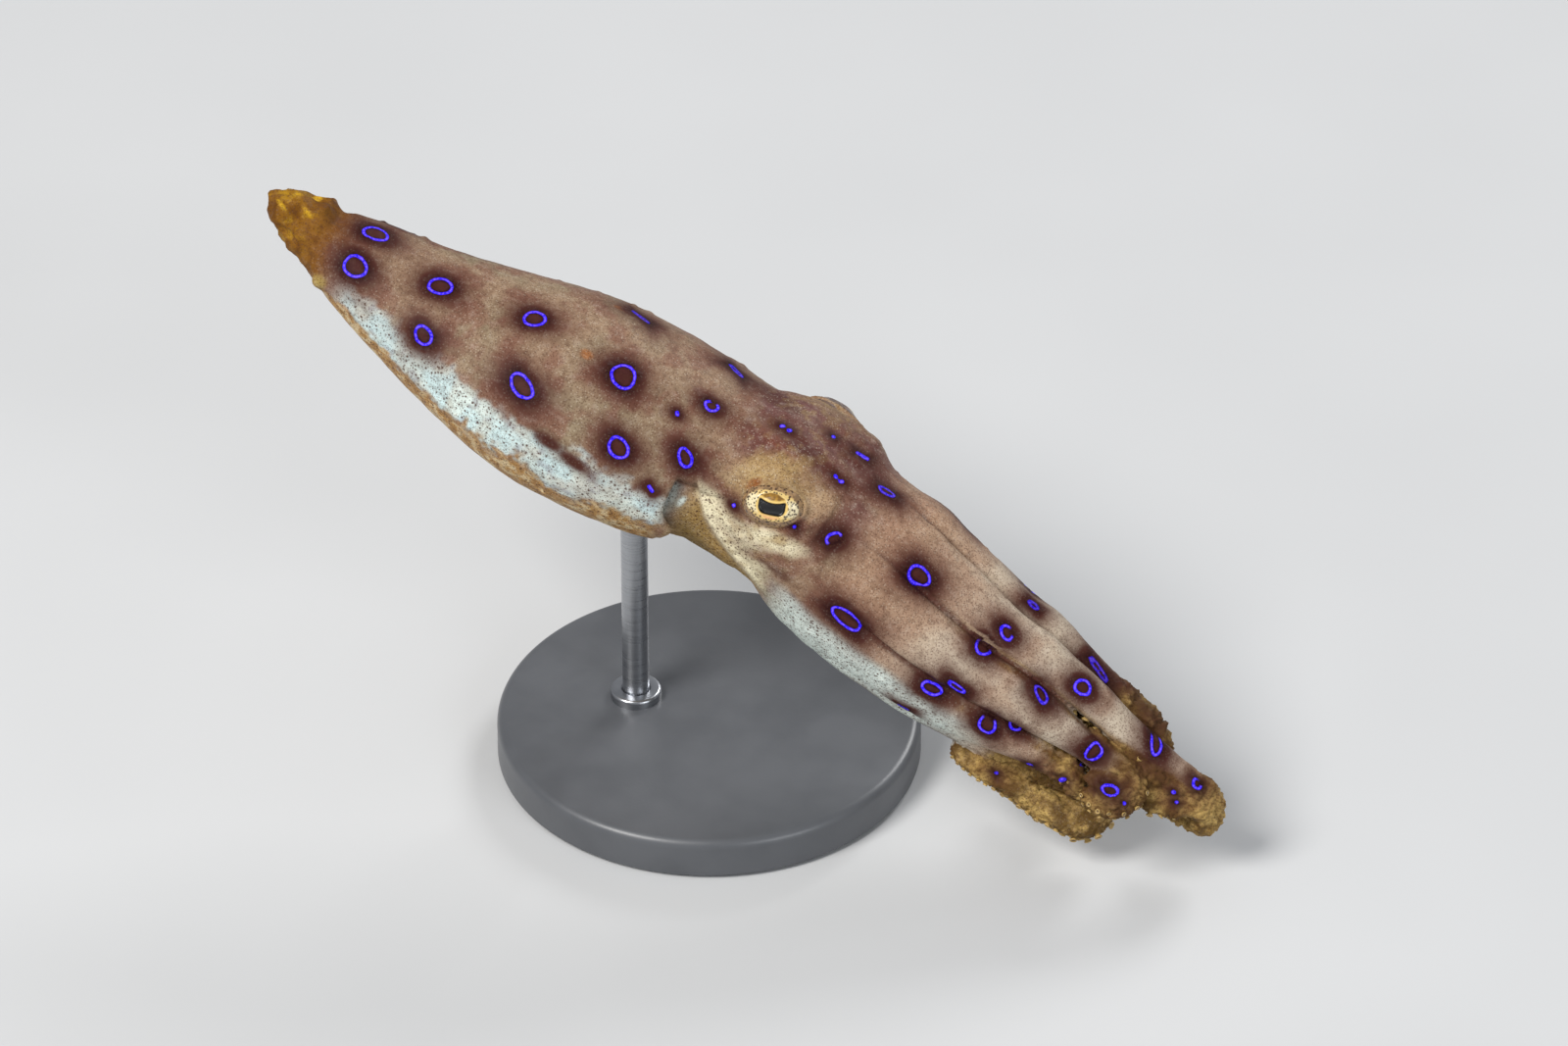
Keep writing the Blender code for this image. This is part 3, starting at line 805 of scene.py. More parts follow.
def raise_head(height, skin):
    """The fold at the head's margin, the folds of the neck, the streaks and the hump of the brow."""
    points, turn, x = skin.points, skin.turn, skin.points[:, 0]
    gap, margin = margin_gap(skin)
    height += margin * (0.24 * bell(gap - 0.22, 0.3) - 0.26 * bell(gap + 0.3, 0.28))
    neck = bell(x - 47.5, 3.2) * rise(np.cos(turn), -0.35, 0.8)
    broken = rise(value_noise(points, 2.2, 12), 0.35, 0.3)
    height += 0.16 * neck * broken * (value_noise(points * (0.9, 0.5, 0.5), 1.0, 8) - 0.5)
    brow = bell(x - 55.0, 7.0) * rise(np.cos(turn), 0.15, 0.5)
    height += 0.3 * brow * (value_noise(points * (0.28, 1.0, 1.0), 0.8, 9) - 0.5)
    height += 0.72 * bell(x - 56.1, 2.3) * bell(turn_between(turn, -0.8), 0.5)


def raise_arms(height, skin):
    """The creases between the arms, and the step where one arm laps over the next."""
    height -= arm_creases(skin, 0.2) * 0.24
    below, lap = lap_distance(skin), lap_share(skin, 63.0, 7.0)
    height += 0.16 * lap * bell(np.minimum(below + 0.1, 0.0), 0.7) * (below < 0.0)
    step = 0.16 - 0.4 * smooth_step(below / 0.2)
    height += lap * (below >= 0.0) * step * np.exp(-np.maximum(below, 0.0) / 0.8)


def raise_flanks(height, skin):
    """The long low fold on each flank of the mantle."""
    fold = bell(turn_between(np.abs(skin.turn), math.radians(101)), math.radians(5))
    height += 0.14 * fold * bell(skin.points[:, 0] - 24.0, 15.0)


def raise_grains(height, skin):
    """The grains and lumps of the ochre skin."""
    points, share = skin.points, rough_share(skin)
    some = share > 0.02
    grains = np.zeros(len(points))
    grains[some] = grain_bumps(grain_places(points[some]), GRAIN, 13) - 0.45
    grains[some] += 0.5 * (grain_bumps(points[some], 0.45 * GRAIN, 14) - 0.45)
    height += 0.26 * share * grains * (0.2 + 1.5 * value_noise(points, 1.2, 15))
    height += 0.9 * share * (layered_noise(points, 1.6, 16) - 0.5)


def raise_papillae(height, skin):
    """The papillae that the photograph shows, and small ones scattered over the body."""
    tree = tree_of(skin.points)
    small = random.Random(SEED + 1)
    bumps = [(*skin_point(skin, x, math.radians(turn)), *shape) for x, turn, *shape in PAPILLAE]
    for _ in range(SMALL_PAPILLAE):
        place = (small.uniform(9.0, 72.0), small.uniform(-2.1, 2.1))
        size = small.uniform(0.22, 0.42)
        bumps.append((*skin_point(skin, *place), size, size * small.uniform(0.25, 0.5)))
    for spot, normal, size, tall in bumps:
        if spot is None:
            continue
        for _, n, gap in tree.find_range(spot, size * 2.0):
            if skin.normals[n] @ np.array(normal) > 0.2:
                height[n] += tall * math.exp(-((gap / size) ** 2))


def sink_eyes(height, skin):
    """The lids round the eyes, and the sockets that the eyes stand in, free of any other relief."""
    for side in (1, -1):
        ring, angle, out = eye_places(skin, side)
        near = (np.abs(out) < 3.5) & (skin.points[:, 1] * -side > 0)
        lid = 0.2 + 0.12 * np.sin(angle) + (0.12 if side < 0 else 0.0) * smooth_step(np.sin(angle))
        height += near * lid * bell(ring - 1.13, 0.1)
        height -= near * 0.09 * bell(ring - 1.4, 0.12)
        height += near * 0.08 * bell(ring - 1.6, 0.1) * smooth_step(0.4 - np.sin(angle))
        height *= np.where(near & (ring < 1.04), 0.0, 1.0)
        height -= near * 1.3 * fall(ring, 1.06, 0.16)


def raise_relief(skin):
    """Moves the skin along its normals into its folds, cap, papillae, grains and sockets."""
    fine = layered_noise(skin.points, 0.9, 3) - 0.5
    broad = layered_noise(skin.points, 3.2, 7) - 0.5
    height = 0.07 * fine + 0.22 * broad * rise(skin.points[:, 0], 4.0, 12.0)
    for add in (raise_cap, raise_head, raise_arms, raise_flanks, raise_grains, raise_papillae, sink_eyes):
        add(height, skin)
    skin.move(height)


ARM_EDGES = tuple(math.radians(row[0]) for row in ARMS.values())


def crease_distance(skin):
    """How far each point is from the nearest groove between two arms, round the crown."""
    apart = np.min([turn_between(skin.turn, edge) for edge in ARM_EDGES], axis=0)
    return apart * CROWN_RADIUS * skin.reach


def arm_creases(skin, width):
    """1 in the grooves between the arms, fading in past the web and out where the arms curl."""
    x = skin.points[:, 0]
    outer = rise(skin.reach, 0.7, 0.15)
    along = rise(x, 59.5, 5.0) * (1.0 - 0.9 * rise(x, 66.0, 7.0))
    return bell(crease_distance(skin), width) * along * outer


# Turns in degrees at which the right and the left arms lap over the next one down
LAPS = ((38.0, 83.0), (48.0, 93.0))


def lap_distance(skin):
    """How far each point is below the nearest lapping margin of an arm, in millimetres."""
    nearest = np.full(len(skin.points), 9.0)
    for right, left in zip(*LAPS):
        edge = np.radians(np.where(skin.points[:, 1] < 0, right, left))
        below = (np.abs(skin.turn) - edge) * CROWN_RADIUS * skin.reach
        nearest = np.where(np.abs(below) < np.abs(nearest), below, nearest)
    return nearest


def lap_share(skin, start, length):
    """How far the arms lap over one another at each point, from a place along the body on."""
    x = skin.points[:, 0]
    outer = rise(skin.reach, 0.72, 0.12) * (skin.arm >= 0)
    return rise(x, start, length) * (1.0 - rise(x, 88.0, 3.0)) * outer


def rough_share(skin):
    """How far the skin is the ochre, grainy kind: arm ends, the arms' lower margins and the curls."""
    names, arms = list(ARMS), [Arm(name) for name in ARMS]
    length = np.array([arm.length for arm in arms] + [0.0])[skin.arm]
    straight = np.array([arm.straight for arm in arms] + [0.0])[skin.arm]
    bent = rise(skin.distance - straight, -2.5, 3.0)
    margin = rise(skin.angle, math.radians(95), math.radians(25)) * rise(skin.distance, 11.0, 5.0)
    end = fall(length - skin.distance, 7.0, 4.0)
    lower = np.isin(skin.arm, (names.index("r4"), names.index("l4"))) * rise(skin.distance, 16.5, 2.0)
    x, up = in_photo(skin)
    fringe = rise(x, 86.5, 2.5) * fall(up, 2.0, 0.5)
    fringe = fringe * np.isin(skin.arm, [names.index(name) for name in FRINGES])
    return np.where(skin.arm >= 0, np.max((bent, margin, end, lower, fringe), axis=0), 0.0)


# Marks the photograph shows, in millimetres: place along and up across the body in the picture, long
# and short half sizes, tilt, then the gap of an open ring and the way it faces in degrees, and strength
SEEN_MARKS = (
    (15.0, 5.0, 1.1, 0.2, -10, 0, 0, 0.5),
    (24.0, 7.7, 1.1, 0.2, -12, 0, 0, 0.5),
    (33.1, 9.3, 1.0, 0.2, -15, 0, 0, 0.5),
    (42.7, 10.0, 0.9, 0.25, -20, 0, 0, 0.6),
    (9.7, 2.5, 1.22, 0.66, 4, 0, 0, 1.0),
    (9.9, -0.9, 1.19, 1.03, -1, 0, 0, 1.0),
    (17.1, 1.8, 1.15, 0.83, 14, 0, 0, 1.0),
    (18.3, -2.6, 1.03, 0.81, -16, 0, 0, 1.0),
    (25.6, 4.0, 1.05, 0.80, 14, 0, 0, 1.0),
    (28.0, -1.5, 1.42, 0.89, -18, 0, 0, 1.0),
    (34.9, 4.1, 1.24, 1.08, -26, 0, 0, 1.0),
    (38.0, -1.3, 1.11, 0.91, -21, 0, 0, 1.0),
    (42.7, 6.2, 0.72, 0.54, 4, 70, 90, 1.0),
    (40.6, 4.0, 0.26, 0.20, -46, 0, 0, 1.0),
    (43.3, 1.2, 0.98, 0.67, -36, 0, 0, 1.0),
    (42.3, -2.7, 0.40, 0.20, -26, 0, 0, 1.0),
    (57.9, 2.5, 0.83, 0.60, 59, 150, -85, 1.0),
    (49.1, 0.1, 0.22, 0.18, -46, 0, 0, 1.0),
    (54.5, 1.5, 0.20, 0.20, 0, 0, 0, 1.0),
    (48.8, 8.2, 0.26, 0.16, 34, 0, 0, 1.0),
    (49.5, 8.2, 0.26, 0.16, 34, 0, 0, 1.0),
    (53.0, 9.9, 0.16, 0.16, 0, 0, 0, 1.0),
    (56.0, 9.9, 0.66, 0.20, 9, 0, 0, 0.8),
    (55.1, 7.1, 0.24, 0.20, -26, 0, 0, 1.0),
    (55.7, 7.0, 0.26, 0.18, 34, 0, 0, 1.0),
    (59.5, 8.5, 0.88, 0.34, 6, 0, 0, 0.6),
    (65.9, 3.9, 1.16, 0.93, -9, 0, 0, 1.0),
    (75.0, 4.1, 0.80, 0.61, -31, 70, 75, 1.0),
    (83.2, 3.8, 0.86, 0.76, 14, 0, 0, 1.0),
    (91.3, 3.4, 1.09, 0.60, -46, 120, 170, 1.0),
    (96.3, 2.4, 0.60, 0.53, -26, 100, 90, 1.0),
    (62.7, -2.6, 1.62, 0.79, -8, 0, 0, 1.0),
    (74.0, 1.9, 0.86, 0.53, 4, 130, 90, 1.0),
    (74.0, -2.3, 0.95, 0.36, -6, 0, 0, 0.9),
    (80.5, 1.3, 0.93, 0.54, -21, 0, 0, 0.7),
    (80.2, -2.2, 0.68, 0.57, 14, 0, 0, 1.0),
    (87.2, -0.2, 1.03, 0.72, 84, 0, 0, 1.1),
    (87.0, -1.9, 0.20, 0.20, 0, 0, 0, 1.0),
    (90.2, -2.4, 0.86, 0.64, 14, 0, 0, 1.0),
    (91.8, -2.6, 0.16, 0.16, 0, 0, 0, 1.0),
    (72.3, -3.6, 1.05, 0.64, 9, 0, 0, 1.0),
    (71.2, -6.4, 0.57, 0.18, 4, 0, 0, 0.7),
    (78.1, -3.5, 0.95, 0.84, -46, 100, 150, 1.0),
    (83.2, -4.4, 0.34, 0.18, 24, 0, 0, 0.9),
    (81.3, -6.7, 0.16, 0.16, 0, 0, 0, 0.8),
    (86.3, -4.0, 0.45, 0.26, 14, 0, 0, 0.9),
    (95.0, 0.6, 0.26, 0.18, 14, 0, 0, 0.8),
    (95.7, 0.0, 0.18, 0.18, 0, 0, 0, 0.8),
    (75.7, 7.4, 0.64, 0.32, -6, 0, 0, 0.5),
    (83.6, 5.9, 1.37, 0.34, -16, 0, 0, 0.5),
)

# Rows of rings the photograph hides: turn in degrees, and the places along the body
HIDDEN_ROWS = (
    (-62, (10.2, 18.9, 27.6, 36.4, 43.2)),
    (-96, (22.8, 31.5)),
    (155, (66.5, 73.5, 81.0)),
    (-152, (65.8, 73.0, 80.0)),
)
# Where the marks of the seen flank are repeated on the other, and how far lower those on the arms stand
MIRROR_FROM, MIRROR_TO = 45.0, 88.0
ARM_MIRROR_SHIFT = math.radians(9.0)
# The way a mark with a strength over 1 is drawn out to a point, from its long axis
POINT_WAY = math.radians(167)
LINE_HALF_WIDTH = 0.125
CLEAR_OF_MARKS = 2.7
# Brown blotches without a ring: place along and up, half sizes and strength
BLOTCHES = (
    (32.6, -4.25, 2.0, 0.75, 1.0),
    (35.4, -4.5, 2.4, 0.75, 1.0),
    (64.5, 1.3, 2.6, 0.8, 0.35),
    (55.5, -2.6, 2.2, 0.6, 0.55),
)


class Marks:
    """Rings, dots and dark halos, as distances kept at each point of the skin."""

    def __init__(self, skin):
        self.skin = skin
        count = len(skin.points)
        self.line = np.full(count, 3.0)
        self.drawn, self.strength = np.ones((2, count))
        self.dark, self.brown = np.zeros((2, count))
        self.spots = []
        self.vary = random.Random(SEED + 4)

    def add(self, spot, normal, long, short, tilt, gap, gap_way, strength, seen):
        """A ring or dot of a shape at a spot of the skin, as the photograph shows it or as worked out."""
        if spot is None or not seen and self.taken(spot, normal):
            return
        self.spots.append(spot)
        long = max(long - 1.15 * LINE_HALF_WIDTH, 0.06)
        short = max(short - 1.15 * LINE_HALF_WIDTH, 0.05)
        skin, n = self.skin, np.array(normal)
        along = np.array((1.0, 0.0, 0.0)) - n * n[0]
        along /= np.linalg.norm(along)
        up = np.cross(n, along)
        if up @ (PHOTO_UP if seen else np.array((0.0, 0.0, 1.0))) < 0:
            up = -up
        lean = math.radians(tilt)
        turned = np.array(((math.cos(lean), math.sin(lean)), (-math.sin(lean), math.cos(lean))))
        flat = np.eye(2)
        if seen:
            flat[1, 1] = max(up @ PHOTO_UP, 0.5)
        shape = np.diag((1.0 / long, 1.0 / short)) @ turned @ flat
        offset = skin.points - np.array(spot)
        chord = np.linalg.norm(offset, axis=1)
        near = np.nonzero((chord < 4.0 * long + 3.0) & (skin.normals @ n > -0.1))[0]
        offset, chord = offset[near], chord[near]
        flat_place = np.column_stack((offset @ along, offset @ up))
        flat_place *= (chord / np.maximum(np.linalg.norm(flat_place, axis=1), 1e-6))[:, None]
        place = flat_place @ shape.T
        way = np.arctan2(place[:, 1], place[:, 0])
        bulge = 1.0 + 0.035 * np.cos(3 * way + self.vary.uniform(0.0, 2.0 * math.pi))
        if seen and strength > 1.0:
            bulge += 0.26 * np.cos(way - POINT_WAY) + 0.12 * np.cos(3 * (way - POINT_WAY))
        place = place / bulge[:, None]
        rho = np.maximum(np.linalg.norm(place, axis=1), 1e-3)
        slope = np.linalg.norm((place / rho[:, None]) @ shape, axis=1)
        gap_mm = (rho - 1.0) / slope
        least = np.linalg.norm(flat_place @ (turned @ flat).T, axis=1) - 1.05 * long
        gap_mm = np.where(gap_mm > 0.0, np.maximum(gap_mm, least), gap_mm)
        drawn = np.ones(len(near))
        if gap:
            from_gap = turn_between(way, math.radians(gap_way)) - math.radians(gap / 2)
            drawn = smooth_step(from_gap / 0.25 + 0.5)
        closer = gap_mm < self.line[near]
        inner = near[closer]
        self.line[inner] = gap_mm[closer]
        self.drawn[inner] = drawn[closer]
        self.strength[inner] = min(strength, 1.0)
        stretch = 1.0 + 0.45 * (flat_place[:, 0] / np.maximum(chord, 1e-6)) ** 2
        beyond = np.maximum(gap_mm, 0.0) / stretch
        size = 0.5 + 0.42 * min(long, 1.2)
        self.dark[near] = np.maximum(self.dark[near], np.exp(-((beyond / size) ** 1.7)))
        self.brown[near] = np.maximum(self.brown[near], np.exp(-((beyond / (2.1 * size)) ** 2.0)))

    def taken(self, spot, normal):
        """True where the photograph shows the place bare, or another mark is too near."""
        if np.array(normal) @ PHOTO_BACK > 0.15:
            return True
        return any((spot - other).length < CLEAR_OF_MARKS for other in self.spots)

    def blotch(self, spot, normal, long, short, amount):
        """A soft brown patch on the flank that faces the way of the normal."""
        offset = self.skin.points - np.array(spot)
        facing = self.skin.normals @ np.array(normal) > 0
        rho = np.hypot(offset[:, 0] / long, np.linalg.norm(offset[:, 1:], axis=1) / short)
        self.brown = np.maximum(self.brown, facing * amount * np.exp(-(rho ** 2)))
        self.dark = np.maximum(self.dark, facing * 0.7 * amount * np.exp(-(rho ** 2)))


def make_marks(skin):
    """The marks that the photograph shows, their like on the other flank, and rows on the hidden sides."""
    marks = Marks(skin)
    vary = random.Random(SEED + 2)
    seen = [(*row, *photo_point(skin, *row[:2])) for row in SEEN_MARKS]
    for _, _, *shape, spot, normal in seen:
        marks.add(spot, normal, *shape, True)
    for along, _, long, short, tilt, gap, gap_way, strength, spot, _ in seen:
        if spot is None or along < MIRROR_FROM:
            continue
        on_arm = along > HEAD_END
        height, width, tall = section_at(CROWN_SECTIONS if on_arm else HEAD_SECTIONS, along)
        turn = math.atan2(-spot.y / width, (spot.z - height) / tall)
        if abs(turn) > math.radians(12) and along < MIRROR_TO:
            place = along + vary.uniform(-1.0, 1.0) * on_arm
            there = skin_point(skin, place, -turn - ARM_MIRROR_SHIFT * on_arm)
            marks.add(*there, long, short, -tilt, gap, gap_way, max(strength, 0.9), False)
    for turn, places in HIDDEN_ROWS:
        for along in places:
            place = along + vary.uniform(-0.7, 0.7)
            there = skin_point(skin, place, math.radians(turn + vary.uniform(-4, 4)))
            long = vary.uniform(1.0, 1.3) * (0.75 if along > HEAD_END else 1.0)
            short, tilt = long * vary.uniform(0.75, 0.95), vary.uniform(-30, 30)
            marks.add(*there, long, short, tilt, 0, 0, 1.0, False)
    for along, up, *shape in BLOTCHES:
        spot, normal = photo_point(skin, along, up)
        for flank in (Vector((1, 1, 1)), Vector((1, -1, 1))):
            marks.blotch(spot * flank, normal * flank, *shape)
    return marks


def srgb(red, green, blue):
    """A display colour of 0 to 255 as linear light."""
    values = []
    for value in (red, green, blue):
        value /= 255.0
        values.append(value / 12.92 if value <= 0.04045 else ((value + 0.055) / 1.055) ** 2.4)
    return np.array(values)


TAUPE = srgb(146, 122, 99)
PINK_BROWN = srgb(126, 92, 76)
GREY_BROWN = srgb(138, 124, 100)
HALO_BROWN = srgb(92, 54, 46)
HALO_DARK = srgb(27, 6, 10)
BAND_WHITE = srgb(206, 220, 214)
BAND_BLUE = srgb(182, 214, 220)
BAND_GREY = srgb(132, 130, 140)
BELLY_OCHRE = srgb(172, 132, 76)
BELLY_BROWN = srgb(120, 84, 50)
BELLY_CREAM = srgb(206, 188, 150)
CAP_ORANGE = srgb(122, 82, 24)
CAP_YELLOW = srgb(192, 150, 36)
CAP_BROWN = srgb(84, 48, 16)
HEAD_VIOLET = srgb(104, 70, 68)
HEAD_GOLD = srgb(168, 140, 92)
HEAD_RED = srgb(112, 66, 52)
EYE_CREAM = srgb(230, 220, 186)
NECK_YELLOW = srgb(160, 130, 76)
ARM_PALE = srgb(196, 184, 164)
ARM_TAN = srgb(164, 132, 108)
ARM_OCHRE = srgb(142, 112, 56)
ARM_CREAM = srgb(184, 154, 92)
ARM_OLIVE = srgb(84, 62, 28)
ARM_SHADE = srgb(52, 40, 30)
INSIDE_BROWN = srgb(70, 36, 34)
HEAD_TAN = srgb(184, 156, 122)
EYE_RUST = srgb(128, 68, 24)
CAP_CREAM = srgb(176, 156, 84)
SPOT_ORANGE = srgb(186, 122, 66)
FUNNEL_SHADE_OLIVE = srgb(112, 92, 48)

# Soft patches of colour on both flanks: place along the body and up in the picture, half sizes, tilt,
# colour and strength
TINTS = (
    (47.7, -0.7, 2.4, 1.0, -20, EYE_CREAM, 0.9),
    (53.6, -0.6, 3.6, 0.95, 14, EYE_CREAM, 0.9),
    (54.1, -0.2, 0.9, 0.5, 30, HEAD_GOLD, 0.7),
    (55.3, 3.9, 1.9, 1.3, 60, HEAD_TAN, 0.7),
    (50.1, 4.7, 3.0, 1.3, 34, HEAD_GOLD, 0.6),
    (49.5, 2.6, 0.8, 0.45, 60, EYE_RUST, 0.8),
    (54.3, -2.1, 2.4, 0.55, 16, PINK_BROWN, 0.85),
    (46.1, 0.9, 2.7, 0.7, -8, HALO_BROWN, 0.75),
    (45.1, -2.1, 0.55, 0.28, 80, BAND_WHITE, 0.8),
    (1.4, 0.0, 0.7, 0.16, -18, CAP_YELLOW, 0.95),
    (3.7, 0.7, 0.6, 0.2, -18, CAP_YELLOW, 0.95),
    (1.7, 1.5, 1.3, 0.3, 30, CAP_YELLOW, 0.5),
    (7.9, -3.8, 0.8, 0.6, 0, CAP_CREAM, 0.7),
    (31.2, 3.9, 0.6, 0.4, 0, SPOT_ORANGE, 0.85),
)
# The same for patches over the back, placed where the photograph shows them
TOP_TINTS = (
    (47.7, 6.2, 3.2, 1.0, 0, HALO_BROWN, 0.6),
    (49.8, 6.8, 2.8, 0.7, -5, HEAD_RED, 0.65),
    (51.8, 7.6, 4.6, 0.85, -8, INSIDE_BROWN, 0.85),
    (55.9, 9.4, 4.3, 0.75, -8, INSIDE_BROWN, 0.85),
    (46.4, 9.9, 2.9, 0.8, 5, INSIDE_BROWN, 0.8),
    (92.2, 1.6, 3.3, 0.9, 0, ARM_OLIVE, 0.8),
    (88.8, 5.7, 4.2, 0.9, -12, ARM_SHADE, 0.6),
)


def paint_tints(skin, colour, patch):
    """The patches of TINTS, laid on each flank where its skin faces out, and those over the back."""
    x, up = in_photo(skin)
    shown = smooth_step(skin.normals @ PHOTO_BACK / 0.3)
    flank = flank_up(skin)
    _, y, z = skin.normals.T
    both = smooth_step((np.abs(y) * PHOTO_UP[2] + z * PHOTO_UP[1]) / 0.3)
    wander = 0.5 * (patch - 0.5)
    for table, level, facing in ((TOP_TINTS, up, shown), (TINTS, flank, both)):
        for along, height, long, short, tilt, tone, amount in table:
            lean = math.radians(tilt)
            a = ((x - along) * math.cos(lean) + (level - height) * math.sin(lean)) / long
            b = ((level - height) * math.cos(lean) - (x - along) * math.sin(lean)) / short
            share = amount * facing * (1.0 - rise(np.hypot(a, b) + wander, 0.45, 0.9))
            if table is TINTS and height > 1.0 and along > 40.0:
                share = share * np.where(skin.points[:, 1] > 0, 0.2, 1.0)
            colour = coated(colour, (tone, share))
    spread = layered_noise(skin.points, 0.7, 51, 2)
    return coated(colour, (HEAD_GOLD * 0.75, 0.4 * bell(x - 51.0, 4.5) * fall(spread, 0.5, 0.15)))


def coated(colour, *coats):
    """A colour at each point under coats of (tone, share), laid on one after the other."""
    for tone, share in coats:
        share = np.clip(share, 0.0, 1.0)[:, None]
        colour = colour * (1.0 - share) + tone * share
    return colour


def in_photo(skin):
    """Where each point lies in the photograph: along the body and up across it."""
    return skin.points[:, 0], skin.points @ PHOTO_UP - PHOTO_UP[2] * TIP_HEIGHT


def paint_mantle(skin, colour, cloud):
    """The mantle's ochre belly, pale band and orange cap, and how pale the skin is there."""
    points, x, away = skin.points, skin.points[:, 0], np.abs(skin.turn)
    on_mantle = 1.0 - rise(x, 43.6, 1.6)
    wander = math.radians(26) * (cloud - 0.5) + math.radians(9) * (layered_noise(points, 1.6, 44) - 0.5)
    low = np.radians(60.0 + 0.25 * x) + wander
    soft = math.radians(9) * (value_noise(points, 0.5, 45) - 0.5)
    high = math.radians(98) - wander + soft
    band = rise(away - low, -soft, math.radians(9)) * smooth_step((high - away) / math.radians(6) + 1)
    band = band * on_mantle * rise(x, 8.0, 4.0)
    belly = rise(away, high, math.radians(13)) * on_mantle * rise(x, 5.0, 4.0)
    under = rise(away, math.radians(135), math.radians(25)) * belly
    flakes = layered_noise(points, 0.8, 46)
    fingers = rise(layered_noise(points * (0.6, 1.0, 1.0), 1.5, 43), 0.34, 0.3)
    cap = 1.0 - rise(x - 5.6, 2.4 * cloud, 3.2)
    crumple = layered_noise(points, 0.9, 62)
    colour = coated(
        colour,
        (BELLY_OCHRE, 0.9 * belly),
        (BELLY_CREAM, belly * rise(flakes, 0.5, 0.15) * 0.75),
        (BELLY_BROWN, belly * fall(flakes, 0.46, 0.12) * 0.45),
        (BELLY_CREAM, 0.5 * under),
        (BAND_WHITE, band * (0.55 + 0.43 * fingers)),
        (BAND_BLUE, 0.5 * band * rise(value_noise(points, 1.6, 47), 0.5, 0.25)),
        (BAND_GREY, 0.45 * band * fall(layered_noise(points, 1.1, 48), 0.42, 0.1)),
        (CAP_ORANGE, cap),
        (CAP_BROWN, cap * fall(crumple, 0.5, 0.15) * 0.5),
        (CAP_YELLOW, 0.3 * cap * rise(crumple, 0.56, 0.12) * fall(x, 6.0, 3.0)),
        (CAP_BROWN, 0.6 * bell(x - 0.5, 0.9) * rise(away, 1.0, 0.6)),
    )
    return colour, band + belly


def paint_head(skin, colour, cloud):
    """The head's violet top, gold round the eyes, yellow neck that darkens to olive lower down as painted
    shade, pale margin, and how pale it is there.
    """
    x, away = skin.points[:, 0], np.abs(skin.turn)
    on_head = rise(x, 44.5, 2.5) * (1.0 - rise(x, 58.0, 5.0))
    streak = value_noise(skin.points * (0.25, 1.0, 1.0), 1.1, 21)
    top = fall(away, math.radians(52), math.radians(18))
    colour = coated(colour, (HEAD_VIOLET, on_head * top * (0.45 + 0.75 * streak)))
    pale = np.zeros(len(x))
    for side in (1, -1):
        ring, angle, out = eye_places(skin, side)
        near = (np.abs(out) < 5.0) & (skin.points[:, 1] * -side > 0)
        above = bell(ring - 1.0, 1.3) * smooth_step(np.sin(angle) + 0.5)
        colour = coated(colour, (HEAD_GOLD, (0.6 if side > 0 else 0.2) * near * above))
        arc = bell(ring - 1.75, 0.62) * smooth_step(0.35 - np.sin(angle + 0.15) * 1.6)
        pale = np.maximum(pale, 0.8 * near * arc)
    gap, margin = margin_gap(skin)
    low = np.maximum(margin, 1.0 - rise(np.abs(skin.points[:, 1]), 1.0, 1.5)) * (away > 1.2)
    neck = on_head * low * fall(gap, 0.1, 0.3) * (1 - rise(x, 54, 3))
    below = on_head * margin * smooth_step(gap / 0.3) * (1.0 - rise(gap, 1.2, 1.2))
    colour = coated(
        colour,
        (NECK_YELLOW, 0.9 * neck),
        # Painted shade: the neck darkens to olive further below the head's margin.
        (FUNNEL_SHADE_OLIVE, 0.7 * neck * rise(-gap, 0.6, 1.5) * (0.4 + 0.9 * cloud)),
        (EYE_CREAM, 0.8 * (margin * bell(gap - 0.25, 0.28))),
        (EYE_CREAM, 0.55 * below * (0.4 + 0.9 * cloud)),
    )
    return colour, np.clip(pale + neck + below, 0.0, 1.0)


def paint_arms(skin, colour, cloud, grain, rough):
    """The tan arms with their pale sides, olive undersides by the laps and ochre curls, with painted shade
    in the grooves between the arms and between the curls' grains and a painted shadow under each lapping
    margin, and how pale the sides are.
    """
    x, away = skin.points[:, 0], np.abs(skin.turn)
    on_arm = rise(x, 58.0, 4.0)
    pale = on_arm * rise(x, 64.0, 10.0) * (0.35 + 0.65 * rise(cloud, 0.35, 0.25))
    side = rise(x, 54.5, 4.0) * rise(away, math.radians(92), math.radians(9)) * (1.0 - rise(x, 74.0, 6.0))
    lumps = layered_noise(skin.points, 1.3, 61)
    below = lap_distance(skin)
    under = lap_share(skin, 69.0, 5.0) * rise(below, 0.05, 0.15) * (1.0 - rise(below, 0.9, 0.5))
    colour = coated(
        colour,
        (ARM_TAN, on_arm * 0.8),
        (ARM_PALE, 0.9 * pale),
        (BAND_WHITE, 0.9 * side),
        # Painted shade: the grooves between the arms darkened with a dim halo brown.
        (HALO_BROWN * 0.6, 0.8 * arm_creases(skin, 0.2)),
        (ARM_OLIVE, under * (0.55 + 0.5 * fall(lumps, 0.55, 0.15))),
        (ARM_OCHRE, 0.6 * under * rise(lumps, 0.5, 0.1)),
        # Painted shadow: a dark line just below each lapping arm's margin.
        (HALO_BROWN * 0.5, 0.75 * (lap_share(skin, 63.0, 5.0) * bell(below - 0.12, 0.16))),
        (ARM_CREAM, 0.5 * lap_share(skin, 70.0, 6.0) * bell(below + 0.15, 0.14)),
        (ARM_OCHRE, 0.92 * rough),
        (ARM_OLIVE, rough * fall(lumps, 0.52, 0.1) * 0.85),
        (ARM_CREAM, rough * rise(lumps, 0.53, 0.12) * 0.75),
        # Painted shade: darker olive in the creases between the curls' grains, where the grain height is
        # low.
        (ARM_OLIVE, rough * fall(grain, 0.35, 0.3) * 0.6),
    )
    return colour, side


